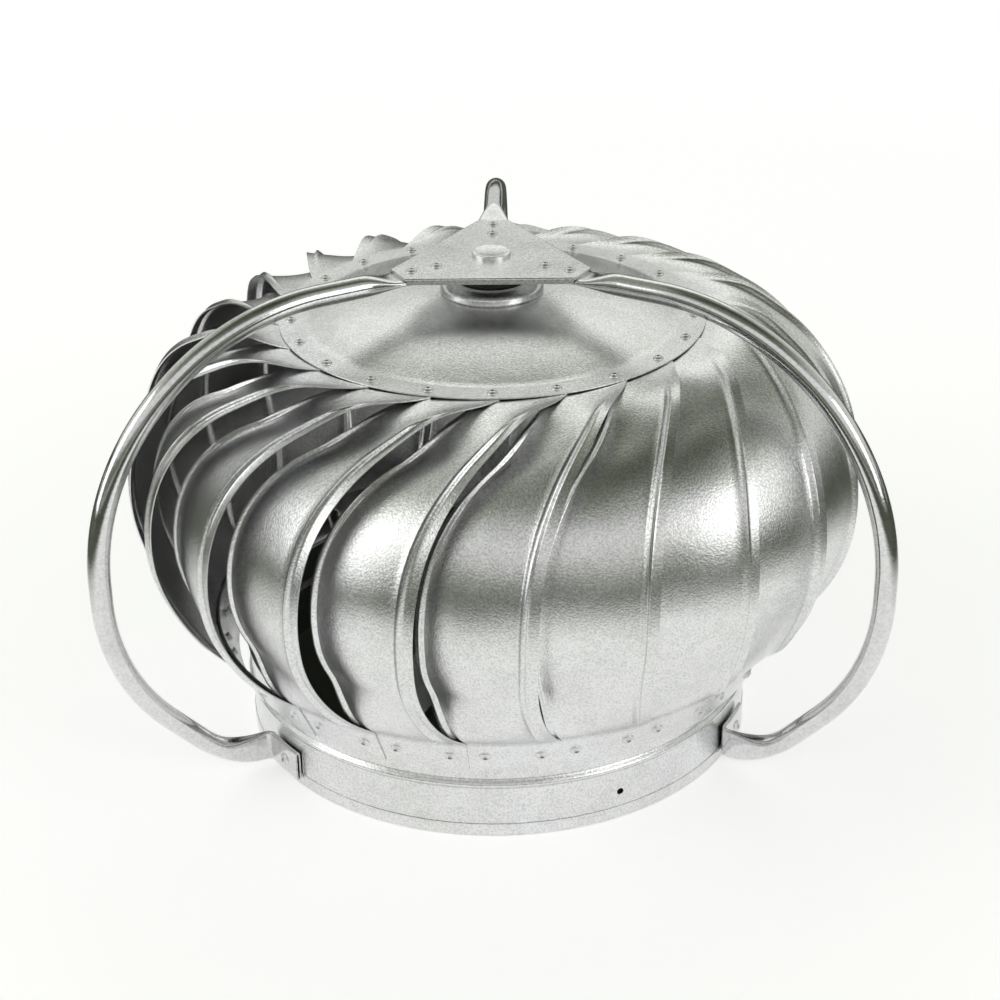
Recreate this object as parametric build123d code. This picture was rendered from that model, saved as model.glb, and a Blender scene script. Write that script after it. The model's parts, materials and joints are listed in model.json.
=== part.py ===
"""Roof turbine ventilator with a 12 inch throat.

A stationary collar slips over a stack and carries three bent tube braces.
The braces meet in a triangular plate that holds a fixed vertical shaft.
The rotor, a ball of twisted vanes between a crown and a ring, spins on the
shaft in two deep-groove ball bearings.

Frame: millimetres, +Z up along the shaft, origin on the axis in the plane of
the collar's bottom edge, -Y towards the side between two braces.
"""
from build123d import *
import math
import os

# ---------------------------------------------------------------- sheet and fits
SHEET = 0.7                 # gauge of the vanes, crown and collar
LAP_GAP = 0.1               # air between two sheets that lie on each other
SEAT = 0.01                 # air round a part pressed or riveted in place

# ---------------------------------------------------------------- collar
STACK_R = 152.4             # the 12 inch stack that the collar slips over
STACK_CLEARANCE = 0.3
COLLAR_HEIGHT = 58.0
HEM_HEIGHT = 8.0            # folded bottom hem
HEM_THICKNESS = 0.6
BEAD_Z = 35.0               # stiffening bead above the slip-on length
BEAD_HALF_HEIGHT = 3.2
BEAD_DEPTH = 2.4
CURL_R = 1.6                # rolled top edge
SCREW_HOLE_R = 2.1
SCREW_HOLE_Z = 17.5
SCREW_HOLE_TURN = -32.0     # degrees from a brace to the next screw hole

# ---------------------------------------------------------------- rotor outline
VANE_COUNT = 21
COLLAR_TO_TAB = 9.6         # collar's outer face to the foot of the vane tabs
TAB_BOTTOM_Z = 50.0
TAB_HEIGHT = 25.5
TAB_FLARE = 12.5            # the tabs lean out by this from foot to crease
BELLY = 42.0                # crease to equator, radially
EQUATOR_RISE = 83.5         # crease to equator, in height
WAIST_DEPTH = 45.5          # centre of the curve below the equator, inside the crease
WAIST_POWER = 1.9
CROWN_RISE = 100.8          # equator to the top of the crown's rim
CROWN_R = 123.7
SHOULDER_W = 16.3           # level part of the vanes outside the crown
SHOULDER_SPREAD = 1.12      # length of the fall from shoulder to equator over its radius's arc
TAB_UNDER_CROWN = 14.2      # vane tabs reach this far in under the crown

# ---------------------------------------------------------------- vane form
CROWN_JOINT_TURN = 2.7      # degrees from -Y to a vane joint at the crown
SWEEP = 30.2                # degrees that an outer edge sweeps back
SWEEP_END = 0.70            # share of the outline at which it stops sweeping
SWEEP_RETURN = 5.7          # degrees that it comes forward again to the ring
LOUVRE_DEPTH = 16.0         # outer edge to the next vane's inner edge, equator
LAP_AT_CROWN = 3.6          # degrees of overlap at the crown
LAP_AT_RING = 2.0           # degrees of overlap at the ring
GAP_AT_EQUATOR = 0.4        # degrees between neighbouring edges at the equator
OPEN_OVER = 0.2             # share of the outline over which a louvre opens or shuts
FLARE = 3.0                 # outer edge lifts by this just outside the crown
FLARE_AT = 0.11             # share of the outline where it lifts most
FLARE_REACH = 0.10
EDGE_BEAD_W = 5.0           # rolled bead behind the outer lip
EDGE_BEAD_H = 1.9
LIP_W = 5.5                 # flat lip outside the bead
HEM_ROLL_W = 6.0            # raised roll on the inner edge
HEM_ROLL_H = 2.2
FORM_START = 0.05           # share of the outline where bead and roll begin
FORM_FULL = 0.16            # and where they reach full height
FORM_FADE = 0.10            # they fade over this last share above the ring
UPPER_STATIONS = 24         # sections drawn above the equator
LOWER_STATIONS = 16         # below it
TAB_STATIONS = 4            # and down the tab

# ---------------------------------------------------------------- crown and hub
CROWN_RIM_W = 15.5          # flat rim outside the dome
DOME_RISE = 13.8
DOME_TOP_R = 32.0
DOME_BULGE = 3.0            # the dome's middle rises this far over its chord
CROWN_RIVET_IN = 7.0        # crown's edge to its rivets
CROWN_RIVET_BACK = 1.67     # degrees from a vane joint back to its rivet
HOUSING_R = 30.0            # rolled shoulder round the upper bearing
HOUSING_RISE = 7.0          # its height over the crown
HOUSING_WALL = 4.0
HOUSING_LIP = 0.8           # lip that rests on the outer race
HOUSING_LIP_W = 1.7
HOUSING_SWAGE = 1.2         # edge swaged out under the crown
CAP_R = 19.9
CAP_T = 1.6
CAP_RECESS = 1.3            # cap's seat below the shoulder's top
CAP_HOLE_GAP = 0.5

# ---------------------------------------------------------------- ring and spider
RING_T = 1.2
RING_GAP = 0.2              # air between the tabs and the ring
RING_MARGIN = 2.0           # the ring ends this far inside the vane tabs' ends
RING_RIVET_RISE = 13.9      # tab foot to the ring rivets
RING_RIVET_OFF = 3.3        # degrees from a vane joint to the rivet each side
SPIDER_T = 1.5
SPIDER_ARMS = 3
ARM_W = 32.0
ARM_DROP = 1.5              # arm's top below the crease
ARM_FLANGE = 7.0
ARM_END_GAP = 5.0           # flanges end this far before the ring
ARM_TAB_RISE = 4.0          # tab foot to the end of an arm's tab
CUP_WALL = 2.5

# ---------------------------------------------------------------- shaft and bearings
SHAFT_R = 6.0
SHAFT_HEAD_R = 11.3
SHAFT_HEAD_T = 2.5
SHAFT_END = 3.0             # shaft below its nut
BEARING_OD_R = 18.5         # 12 x 37 x 12 deep-groove ball bearing
BEARING_W = 12.0
BALL_R = 3.97
BALL_COUNT = 7
BALL_CLEARANCE = 0.05
RACE_SHOULDER = 2.0         # ball pitch circle to a race's shoulder
CAGE_GAP = 0.35
CAGE_POCKET_GAP = 0.12
CAGE_RIM = 0.8
SPACER_WALL = 2.5
NUT_AF = 19.0
NUT_T = 10.0
WASHER_R = 12.0
WASHER_T = 2.0

# ---------------------------------------------------------------- braces and plate
BRACE_NAMES = {"rear": 90.0, "left": 210.0, "right": 330.0}
TUBE_R = 6.35               # half inch tube
TUBE_WALL = 1.1
FLAT_W = 19.0               # width of the tube where it is pressed flat
FLAT_T = 3.4
FLAT_POWER = 4.0            # squareness of the flattened section
SHAFT_SHOWN = 14.2          # shoulder's top to the plate's top
PLATE_T = 1.6
PLATE_INRADIUS = 38.5
PLATE_CORNER_R = 60.0
PLATE_FLANGE = 3.6          # total depth of the turned-down edges
PLATE_EDGE_R = 1.2
PLATE_RIVETS_R = (35.5, 51.5)
TUBE_END_R = 29.0           # inner end of the flattened tube under the plate
FLAT_PAST_PLATE = 1.0       # flattened part beyond the plate's corner
PLATE_PRESS_LENGTH = 22.0   # from there until the tube is round again
TUBE_SLOT_GAP = 0.5         # air beside the tube where it leaves the plate
BRACE_MID_RUN = 10.5        # runs and bends of the centre line, top to foot
BRACE_BEND_MID = 130.0
BRACE_MID_ANGLE = 42.0
BRACE_LOW_RUN = 27.0
BRACE_BEND_LOW = 52.5
FOOT_PRESS_LENGTH = 34.0    # before the foot, where the tube flattens
FOOT_Z = 13.5
FOOT_BEND_R = 2.6           # inside radius of the bend along the collar
FOOT_LENGTH = 27.0
FOOT_RIVET_AT = 15.0        # from the bend to the rivet
PRESS_STATIONS = 5          # steps drawn where the tube is pressed flat
SECTION_POINTS = 16         # points of each section

# ---------------------------------------------------------------- fasteners
RING_RIVET_HEAD_R = 3.6
CROWN_RIVET_HEAD_R = 3.1
PLATE_RIVET_HEAD_R = 3.3
FOOT_RIVET_HEAD_R = 4.0
RIVET_HEAD_H = 1.3
RIVET_SHANK_R = 1.6
RIVET_TAIL_R = 2.6
RIVET_TAIL_H = 0.9
RIVET_DIMPLE_R = 1.1
RIVET_DIMPLE_H = 0.7
RIVET_LIFT = 0.16           # air under a rivet's head and over its tail
RIVET_HOLE_GAP = 0.05       # air round a rivet's shank
HOLE_LENGTH = 14.0          # long enough to cut any stack of sheets

# ---------------------------------------------------------------- values that follow
PITCH = 360.0 / VANE_COUNT
THROAT_R = STACK_R + STACK_CLEARANCE
COLLAR_R = THROAT_R + SHEET
HEM_R = COLLAR_R + HEM_THICKNESS
LAP_STEP = SHEET + LAP_GAP
BEARING_HALF = BEARING_W / 2
PITCH_CIRCLE_R = (SHAFT_R + BEARING_OD_R) / 2
# rotor outline
TAB_BOTTOM_R = COLLAR_R + COLLAR_TO_TAB
TAB_TOP_R = TAB_BOTTOM_R + TAB_FLARE
TAB_TOP_Z = TAB_BOTTOM_Z + TAB_HEIGHT
TAB_SLOPE = TAB_FLARE / TAB_HEIGHT
EQUATOR_R = TAB_TOP_R + BELLY
EQUATOR_Z = TAB_TOP_Z + EQUATOR_RISE
WAIST_CENTRE_R = TAB_TOP_R - WAIST_DEPTH
CROWN_Z = EQUATOR_Z + CROWN_RISE
VANE_TOP_Z = CROWN_Z - SHEET - LAP_GAP
SHOULDER_R = CROWN_R + SHOULDER_W
# crown and upper bearing, from the crown upwards
DOME_TOP_Z = CROWN_Z + DOME_RISE
HOUSING_TOP_Z = DOME_TOP_Z + HOUSING_RISE
UPPER_BEARING_Z = HOUSING_TOP_Z - CAP_RECESS - HOUSING_LIP - BEARING_HALF
PLATE_Z = HOUSING_TOP_Z + SHAFT_SHOWN
PLATE_UNDER_Z = PLATE_Z - PLATE_T
# ring, arms and lower bearing, from the vane tabs inwards
RING_OFFSET = LAP_STEP * (1 + LAP_AT_RING / PITCH) + SHEET + RING_GAP
RING_RIVET_Z = TAB_BOTTOM_Z + RING_RIVET_RISE
ARM_OFFSET = RING_OFFSET + RING_T + LAP_GAP
ARM_Z = TAB_TOP_Z - ARM_DROP
LOWER_BEARING_Z = ARM_Z - ARM_FLANGE + BEARING_HALF
WASHER_Z = LOWER_BEARING_Z - BEARING_HALF - WASHER_T
NUT_Z = WASHER_Z - NUT_T
# brace path
TUBE_TOP_Z = PLATE_UNDER_Z - LAP_GAP - FLAT_T / 2
FOOT_R = HEM_R + LAP_GAP + FLAT_T / 2
FOOT_TURN_R = FOOT_BEND_R + FLAT_T / 2


def turned(shape, degrees):
    """Turn a shape about the shaft."""
    return shape.rotate(Axis.Z, degrees)


def ring_of(points):
    """Revolve a closed outline, given as (radius, height) points, about the shaft."""
    outline = Polyline(*[(r, 0, z) for r, z in points], close=True)
    return revolve(make_face(outline), Axis.Z)


def tube_of(inner_r, outer_r, low, high):
    """A plain tube about the shaft."""
    return ring_of([(inner_r, low), (outer_r, low), (outer_r, high), (inner_r, high)])


def around(radius, turn, z):
    """A point at a radius and height, turned by degrees from -Y towards +X."""
    angle = math.radians(turn)
    return Vector(radius * math.sin(angle), -radius * math.cos(angle), z)


def bump(distance, half_width):
    """A smooth hump: 1 in the middle and 0 from half_width outwards."""
    if abs(distance) >= half_width:
        return 0.0
    return 0.5 * (1 + math.cos(math.pi * distance / half_width))


def smooth_step(x, start, end):
    """0 before start, 1 after end, and a smooth rise between them."""
    t = min(1.0, max(0.0, (x - start) / (end - start)))
    return t * t * (3 - 2 * t)


# ================================================================ rotor outline
def waist_height():
    """Height of the curve below the equator that meets the crease above the ring."""
    share = (TAB_TOP_R - WAIST_CENTRE_R) / (EQUATOR_R - WAIST_CENTRE_R)
    return EQUATOR_RISE / (1 - share ** WAIST_POWER) ** (1 / WAIST_POWER)


def outline_point(u):
    """A point (radius, height) of the vanes' outer outline.

    u runs from -1 under the crown, 0 at the crown's edge, 1 at the equator and
    2 at the crease to 3 at the bottom of the tabs.
    """
    if u <= 0:
        return CROWN_R + TAB_UNDER_CROWN * u, VANE_TOP_Z
    if u <= 1:
        fall = (EQUATOR_R - SHOULDER_R) * math.pi / 2 * SHOULDER_SPREAD
        along = u * (SHOULDER_W + fall)
        if along < SHOULDER_W:
            return CROWN_R + along, VANE_TOP_Z
        turn = (along - SHOULDER_W) / fall * math.pi / 2
        return (SHOULDER_R + (EQUATOR_R - SHOULDER_R) * math.sin(turn),
                EQUATOR_Z + (VANE_TOP_Z - EQUATOR_Z) * math.cos(turn))
    if u <= 2:
        depth = (u - 1) * EQUATOR_RISE
        share = (1 - (depth / waist_height()) ** WAIST_POWER) ** (1 / WAIST_POWER)
        return WAIST_CENTRE_R + (EQUATOR_R - WAIST_CENTRE_R) * share, EQUATOR_Z - depth
    return TAB_TOP_R - TAB_FLARE * (u - 2), TAB_TOP_Z - TAB_HEIGHT * (u - 2)


def outline_normal(u):
    """The outward unit normal (radial, vertical) of the outline at u."""
    if u <= 0:
        return 0.0, 1.0
    step = 0.02
    before, after = (2.2, 2.8) if u >= 2.1 else (max(0.0, u - step), u + step)
    r0, z0 = outline_point(before)
    r1, z1 = outline_point(after)
    length = math.hypot(r1 - r0, z1 - z0)
    return (z0 - z1) / length, (r1 - r0) / length


def outline_share(u):
    """How far along the outline u lies, 0 at the crown's edge and 1 at the crease."""
    steps = 24
    lengths = [0.0]
    for i in range(2 * steps):
        piece = math.dist(outline_point(i / steps), outline_point((i + 1) / steps))
        lengths.append(lengths[-1] + piece)
    at = min(max(u, 0.0), 2.0) * steps
    i = min(int(at), 2 * steps - 1)
    return (lengths[i] + (lengths[i + 1] - lengths[i]) * (at - i)) / lengths[-1]


def cone_radius(z, inward=0.0):
    """Radius at a height of the cone round the vane tabs, or of a cone inside it."""
    return TAB_BOTTOM_R + TAB_SLOPE * (z - TAB_BOTTOM_Z) - inward * math.hypot(1, TAB_SLOPE)


# ================================================================ vanes
def edge_turn(x):
    """Degrees from a vane's crown joint to its outer edge, x along the outline."""
    swept = SWEEP * (1 - max(0.0, 1 - x / SWEEP_END) ** 3)
    back = SWEEP_RETURN * (max(0.0, x - SWEEP_END) / (1 - SWEEP_END)) ** 2
    return back - swept


def openness(x):
    """0 where the vanes lap at the crown and the ring, 1 where the louvres are open."""
    return smooth_step(min(x, 1 - x), 0.0, OPEN_OVER)


def vane_span(x):
    """Degrees that one vane covers, x along the outline."""
    lap = LAP_AT_CROWN if x < 0.5 else LAP_AT_RING
    return PITCH + lap - (GAP_AT_EQUATOR + lap) * openness(x)


def vane_offset(x, from_inner, width):
    """Height of a vane's skin over the outline, from_inner mm from its inner edge."""
    from_outer = width - from_inner
    step = LAP_STEP + (LOUVRE_DEPTH - LAP_STEP) * openness(x)
    back = from_outer / width * vane_span(x) / PITCH
    formed = smooth_step(x, FORM_START, FORM_FULL) * smooth_step(1 - x, 0.0, FORM_FADE)
    roll = HEM_ROLL_H * bump(from_inner - HEM_ROLL_W / 2, HEM_ROLL_W / 2)
    bead = EDGE_BEAD_H * bump(from_outer - LIP_W - EDGE_BEAD_W / 2, EDGE_BEAD_W / 2)
    flare = FLARE * (from_inner / width) ** 3 * bump(x - FLARE_AT, FLARE_REACH)
    return formed * (roll + bead) + flare - step * back


def vane_stops(width):
    """Distances from the inner edge at which a vane's section is drawn."""
    quarters = (0.0, 0.25, 0.5, 0.75, 1.0)
    bead_from = width - LIP_W - EDGE_BEAD_W
    stops = [HEM_ROLL_W * share for share in quarters]
    stops += [HEM_ROLL_W + (bead_from - HEM_ROLL_W) * share for share in (0.2, 0.4, 0.6, 0.8)]
    stops += [bead_from + EDGE_BEAD_W * share for share in quarters]
    return stops + [width - LIP_W / 2, width]


def vane_curve(u, inside):
    """One crosswise curve of the vane's outer skin, or of its inner skin."""
    x = outline_share(u)
    r, z = outline_point(u)
    n_r, n_z = outline_normal(u)
    span = vane_span(x)
    width = math.radians(span) * r
    points = []
    for stop in vane_stops(width):
        lift = vane_offset(x, stop, width) - (SHEET if inside else 0.0)
        turn = CROWN_JOINT_TURN + edge_turn(x) - span * (1 - stop / width)
        points.append(around(r + n_r * lift, turn, z + n_z * lift))
    marks = vane_stops(math.radians(PITCH) * EQUATOR_R)
    return Wire([Edge.make_spline(points, parameters=marks)])


def closed_sheet(outer, inner):
    """Close the space between two skins with ruled edges and return the solid."""
    faces = [outer, inner]
    for rim in outer.edges():
        middle = rim.position_at(0.5)
        mate = min(inner.edges(), key=lambda e: (e.position_at(0.5) - middle).length)
        faces.append(Face.make_surface_from_curves(rim, mate))
    return Solid(Shell(faces))


def vane():
    """One vane: a twisted sheet with a rolled inner edge, a bead and an outer lip."""
    stations = [-1.0, -0.5]
    stations += [i / UPPER_STATIONS for i in range(UPPER_STATIONS)]
    stations += [1 + i / LOWER_STATIONS for i in range(LOWER_STATIONS)]
    stations += [2 + i / TAB_STATIONS for i in range(TAB_STATIONS + 1)]
    skins = []
    for inside in (False, True):
        skin = Shell.make_loft([vane_curve(u, inside) for u in stations])
        skins.append(skin.faces()[0])
    sheet = closed_sheet(*skins)
    for joint in (0, -PITCH):
        sheet -= crown_rivet_place(CROWN_JOINT_TURN + joint) * rivet_hole()
    for back in (RING_RIVET_OFF, PITCH - RING_RIVET_OFF):
        sheet -= ring_rivet_place(CROWN_JOINT_TURN, back) * rivet_hole()
    return sheet.solid()


# ================================================================ rivets
def rivet_hole():
    """The cut for a rivet's shank through any stack of sheets."""
    return Cylinder(RIVET_SHANK_R + RIVET_HOLE_GAP, HOLE_LENGTH)


def rivet(head_r, grip, tail=True):
    """A dimpled rivet: its head's seat at the origin, its tail grip below that."""
    end = -grip - RIVET_LIFT
    top = RIVET_LIFT + RIVET_HEAD_H
    foot = [(0, -grip), (RIVET_SHANK_R, -grip)]
    if tail:
        foot = [(0, end - RIVET_TAIL_H), (RIVET_TAIL_R, end - RIVET_TAIL_H),
                (RIVET_TAIL_R, end), (RIVET_SHANK_R, end)]
    return ring_of(foot + [
        (RIVET_SHANK_R, RIVET_LIFT),
        (head_r, RIVET_LIFT),
        (head_r - RIVET_HEAD_H / 5, RIVET_LIFT + RIVET_HEAD_H / 2),
        (RIVET_DIMPLE_R, top),
        (RIVET_DIMPLE_R / 2, top - RIVET_DIMPLE_H),
        (0, top - RIVET_DIMPLE_H),
    ])


def crown_rivet_place(joint_turn):
    """The seat on the crown of the rivet that pins the joint at joint_turn."""
    return Location(around(CROWN_R - CROWN_RIVET_IN, joint_turn - CROWN_RIVET_BACK, CROWN_Z))


def ring_seat_depth(back):
    """How deep a tab's skin lies inside the tabs' cone, back degrees from its edge."""
    return LAP_STEP * back / PITCH


def ring_rivet_place(joint_turn, back):
    """The seat on a vane's tab of a ring rivet, back degrees from its outer edge."""
    lean = math.atan(TAB_SLOPE)
    turn = joint_turn + edge_turn(1.0) - back
    depth = ring_seat_depth(back)
    seat = around(cone_radius(RING_RIVET_Z) - depth * math.cos(lean), turn,
                  RING_RIVET_Z + depth * math.sin(lean))
    return Plane(seat, z_dir=around(math.cos(lean), turn, -math.sin(lean))).location


def crown_rivets():
    """One rivet on each vane joint, through the crown and two lapped vane corners."""
    grip = CROWN_Z - VANE_TOP_Z + LAP_STEP * (1 + CROWN_RIVET_BACK / PITCH) + SHEET
    model = rivet(CROWN_RIVET_HEAD_R, grip)
    return [crown_rivet_place(CROWN_JOINT_TURN + PITCH * i) * model for i in range(VANE_COUNT)]


def ring_rivets():
    """Two rivets in each vane tab, longer where they also hold a spider arm."""
    rivets = []
    for i in range(VANE_COUNT):
        for back, joint in ((RING_RIVET_OFF, i), (PITCH - RING_RIVET_OFF, i - 1)):
            holds_arm = joint % (VANE_COUNT // SPIDER_ARMS) == 0
            depth = ARM_OFFSET + SPIDER_T if holds_arm else RING_OFFSET + RING_T
            model = rivet(RING_RIVET_HEAD_R, depth - ring_seat_depth(back))
            rivets.append(ring_rivet_place(CROWN_JOINT_TURN + PITCH * i, back) * model)
    return rivets


# ================================================================ crown and hub
def crown():
    """The dished crown: a flat riveted rim, a shallow dome and a flat round the hub."""
    rim_r = CROWN_R - CROWN_RIM_W
    hole_r = BEARING_OD_R + HOUSING_WALL + SEAT
    middle = ((rim_r + DOME_TOP_R) / 2, 0, CROWN_Z + DOME_RISE / 2 + DOME_BULGE)
    top = [
        Line((CROWN_R, 0, CROWN_Z), (rim_r, 0, CROWN_Z)),
        ThreePointArc((rim_r, 0, CROWN_Z), middle, (DOME_TOP_R, 0, DOME_TOP_Z)),
        Line((DOME_TOP_R, 0, DOME_TOP_Z), (hole_r, 0, DOME_TOP_Z)),
    ]
    under = [edge.moved(Location((0, 0, -SHEET))) for edge in top]
    ends = [Line((r, 0, z - SHEET), (r, 0, z)) for r, z in ((CROWN_R, CROWN_Z), (hole_r, DOME_TOP_Z))]
    disc = revolve(make_face(Wire(top + under + ends)), Axis.Z)
    for i in range(VANE_COUNT):
        disc -= crown_rivet_place(CROWN_JOINT_TURN + PITCH * i) * rivet_hole()
    return disc


def bearing_housing():
    """The turned cup that carries the upper bearing, swaged into the crown."""
    bore = BEARING_OD_R + SEAT
    neck = BEARING_OD_R + HOUSING_WALL
    race_top = UPPER_BEARING_Z + BEARING_HALF
    seat_z = DOME_TOP_Z + SEAT
    under_crown = DOME_TOP_Z - SHEET - SEAT
    lip_r = BEARING_OD_R - HOUSING_LIP_W
    return ring_of([
        (bore, UPPER_BEARING_Z - BEARING_HALF),
        (neck, UPPER_BEARING_Z - BEARING_HALF),
        (neck, under_crown - HOUSING_SWAGE),
        (neck + HOUSING_SWAGE, under_crown - HOUSING_SWAGE / 2),
        (neck + HOUSING_SWAGE, under_crown),
        (neck, under_crown),
        (neck, seat_z),
        (HOUSING_R - 1.0, seat_z),
        (HOUSING_R, seat_z + 1.4),
        (HOUSING_R - 0.8, HOUSING_TOP_Z - 3.0),
        (HOUSING_R - 3.6, HOUSING_TOP_Z - 1.0),
        (CAP_R + 3.6, HOUSING_TOP_Z),
        (CAP_R + SEAT, HOUSING_TOP_Z),
        (CAP_R + SEAT, race_top + HOUSING_LIP),
        (lip_r, race_top + HOUSING_LIP),
        (lip_r, race_top + SEAT),
        (bore, race_top + SEAT),
    ])


def dust_cap():
    """The cap over the upper bearing, clear of the spacer in its middle."""
    low = UPPER_BEARING_Z + BEARING_HALF + HOUSING_LIP + SEAT
    hole = SHAFT_R + SPACER_WALL + CAP_HOLE_GAP
    return ring_of([
        (hole, low),
        (CAP_R, low),
        (CAP_R, low + CAP_T / 2),
        (CAP_R - CAP_T, low + CAP_T),
        (hole + CAP_T / 2, low + CAP_T),
        (hole, low + CAP_T / 2),
    ])


# ================================================================ bearings
def bearing(middle_z):
    """A deep-groove bearing: inner race, outer race, balls and cage."""
    groove = Pos(0, 0, middle_z) * Torus(PITCH_CIRCLE_R, BALL_R + BALL_CLEARANCE)
    low = middle_z - BEARING_HALF
    high = middle_z + BEARING_HALF
    inner = tube_of(SHAFT_R + SEAT, PITCH_CIRCLE_R - RACE_SHOULDER, low, high) - groove
    outer = tube_of(PITCH_CIRCLE_R + RACE_SHOULDER, BEARING_OD_R, low, high) - groove
    places = [Rot(0, 0, 360 * i / BALL_COUNT) * Pos(PITCH_CIRCLE_R, 0, middle_z)
              for i in range(BALL_COUNT)]
    reach = RACE_SHOULDER - CAGE_GAP
    pocket_r = BALL_R + CAGE_POCKET_GAP
    half = pocket_r + CAGE_RIM
    cage = tube_of(PITCH_CIRCLE_R - reach, PITCH_CIRCLE_R + reach, middle_z - half, middle_z + half)
    for place in places:
        cage -= place * Rot(0, 90, 0) * Cylinder(pocket_r, 4 * reach)
    return inner, outer, [place * Sphere(BALL_R) for place in places], cage


# ================================================================ ring and spider
def lower_ring():
    """The conical ring inside the vane tabs."""
    low = TAB_BOTTOM_Z + RING_MARGIN
    high = TAB_TOP_Z - RING_MARGIN
    inside = RING_OFFSET + RING_T
    ring = ring_of([
        (cone_radius(low, inside), low),
        (cone_radius(low, RING_OFFSET), low),
        (cone_radius(high, RING_OFFSET), high),
        (cone_radius(high, inside), high),
    ])
    for i in range(VANE_COUNT):
        for back in (RING_RIVET_OFF, PITCH - RING_RIVET_OFF):
            ring -= ring_rivet_place(CROWN_JOINT_TURN + PITCH * i, back) * rivet_hole()
    return ring


def spider_arm():
    """One channel arm along +X, whose end tab is bent down along the ring."""
    under = ARM_Z - SPIDER_T
    foot = TAB_BOTTOM_Z + ARM_TAB_RISE
    inside = ARM_OFFSET + SPIDER_T
    strip = ring_of([
        (BEARING_OD_R, under),
        (cone_radius(under, inside), under),
        (cone_radius(foot, inside), foot),
        (cone_radius(foot, ARM_OFFSET), foot),
        (cone_radius(ARM_Z, ARM_OFFSET), ARM_Z),
        (BEARING_OD_R, ARM_Z),
    ])
    from_axis = (Align.MIN, Align.CENTER, Align.MAX)
    arm = strip & Pos(0, 0, ARM_Z) * Box(TAB_TOP_R, ARM_W, TAB_TOP_Z, align=from_axis)
    length = cone_radius(foot, inside) - ARM_END_GAP
    flanges = Pos(0, 0, ARM_Z) * Box(length, ARM_W, ARM_FLANGE, align=from_axis)
    inner_w = ARM_W - 2 * SPIDER_T
    flanges -= Pos(0, 0, ARM_Z) * Box(length, inner_w, ARM_FLANGE, align=from_axis)
    return arm + flanges


def spider():
    """The lower bearing's cup and the three arms that join it to the ring."""
    low = LOWER_BEARING_Z - BEARING_HALF
    race_top = LOWER_BEARING_Z + BEARING_HALF
    top = race_top + HOUSING_LIP
    body = tube_of(BEARING_OD_R, BEARING_OD_R + CUP_WALL, low, top)
    body += tube_of(BEARING_OD_R - HOUSING_LIP_W, BEARING_OD_R + CUP_WALL, race_top + SEAT, top)
    joint = CROWN_JOINT_TURN + edge_turn(1.0)
    arm = spider_arm()
    for i in range(SPIDER_ARMS):
        body += turned(arm, joint - 90 + 360 * i / SPIDER_ARMS)
    body -= tube_of(0, BEARING_OD_R + SEAT, low - SPIDER_T, race_top + SEAT)
    for i in range(SPIDER_ARMS):
        at = joint - edge_turn(1.0) + 360 * i / SPIDER_ARMS
        body -= ring_rivet_place(at, RING_RIVET_OFF) * rivet_hole()
        body -= ring_rivet_place(at + PITCH, PITCH - RING_RIVET_OFF) * rivet_hole()
    return body


# ================================================================ collar
def collar():
    """The rolled throat: hem, bead, rolled top edge, screw holes and rivet holes."""
    low = BEAD_Z - BEAD_HALF_HEIGHT
    high = BEAD_Z + BEAD_HALF_HEIGHT
    top = COLLAR_HEIGHT - CURL_R
    wall = [
        Line((THROAT_R, 0, 0), (THROAT_R, 0, low)),
        ThreePointArc((THROAT_R, 0, low), (THROAT_R + BEAD_DEPTH, 0, BEAD_Z), (THROAT_R, 0, high)),
        Line((THROAT_R, 0, high), (THROAT_R, 0, top)),
        Line((THROAT_R, 0, top), (COLLAR_R, 0, top)),
        Line((COLLAR_R, 0, top), (COLLAR_R, 0, high + SHEET)),
        ThreePointArc((COLLAR_R, 0, high + SHEET), (COLLAR_R + BEAD_DEPTH, 0, BEAD_Z),
                      (COLLAR_R, 0, low - SHEET)),
        Line((COLLAR_R, 0, low - SHEET), (COLLAR_R, 0, HEM_HEIGHT)),
        Line((COLLAR_R, 0, HEM_HEIGHT), (HEM_R, 0, HEM_HEIGHT)),
        Line((HEM_R, 0, HEM_HEIGHT), (HEM_R, 0, 0)),
        Line((HEM_R, 0, 0), (THROAT_R, 0, 0)),
    ]
    body = revolve(make_face(Wire(wall)), Axis.Z)
    body += Pos(0, 0, top) * Torus(THROAT_R + CURL_R, CURL_R)
    hole = Rot(0, 90, 0) * Cylinder(SCREW_HOLE_R, HOLE_LENGTH)
    rivet_cut = Rot(0, 90, 0) * rivet_hole()
    for turn in BRACE_NAMES.values():
        body -= turned(Pos(THROAT_R, 0, SCREW_HOLE_Z) * hole, turn + SCREW_HOLE_TURN)
        body -= turned(Pos(THROAT_R, 0, FOOT_Z) * rivet_cut, turn + foot_rivet_turn())
    return body


# ================================================================ braces
def foot_bend():
    """Where the foot leaves the brace's plane: bend's start radius and end angle."""
    centre_r = FOOT_R + FOOT_TURN_R
    return math.sqrt(centre_r ** 2 - FOOT_TURN_R ** 2), math.asin(FOOT_TURN_R / centre_r)


def foot_rivet_turn():
    """Degrees from a brace to its foot's rivet."""
    return math.degrees(foot_bend()[1] + FOOT_RIVET_AT / FOOT_R)


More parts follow.
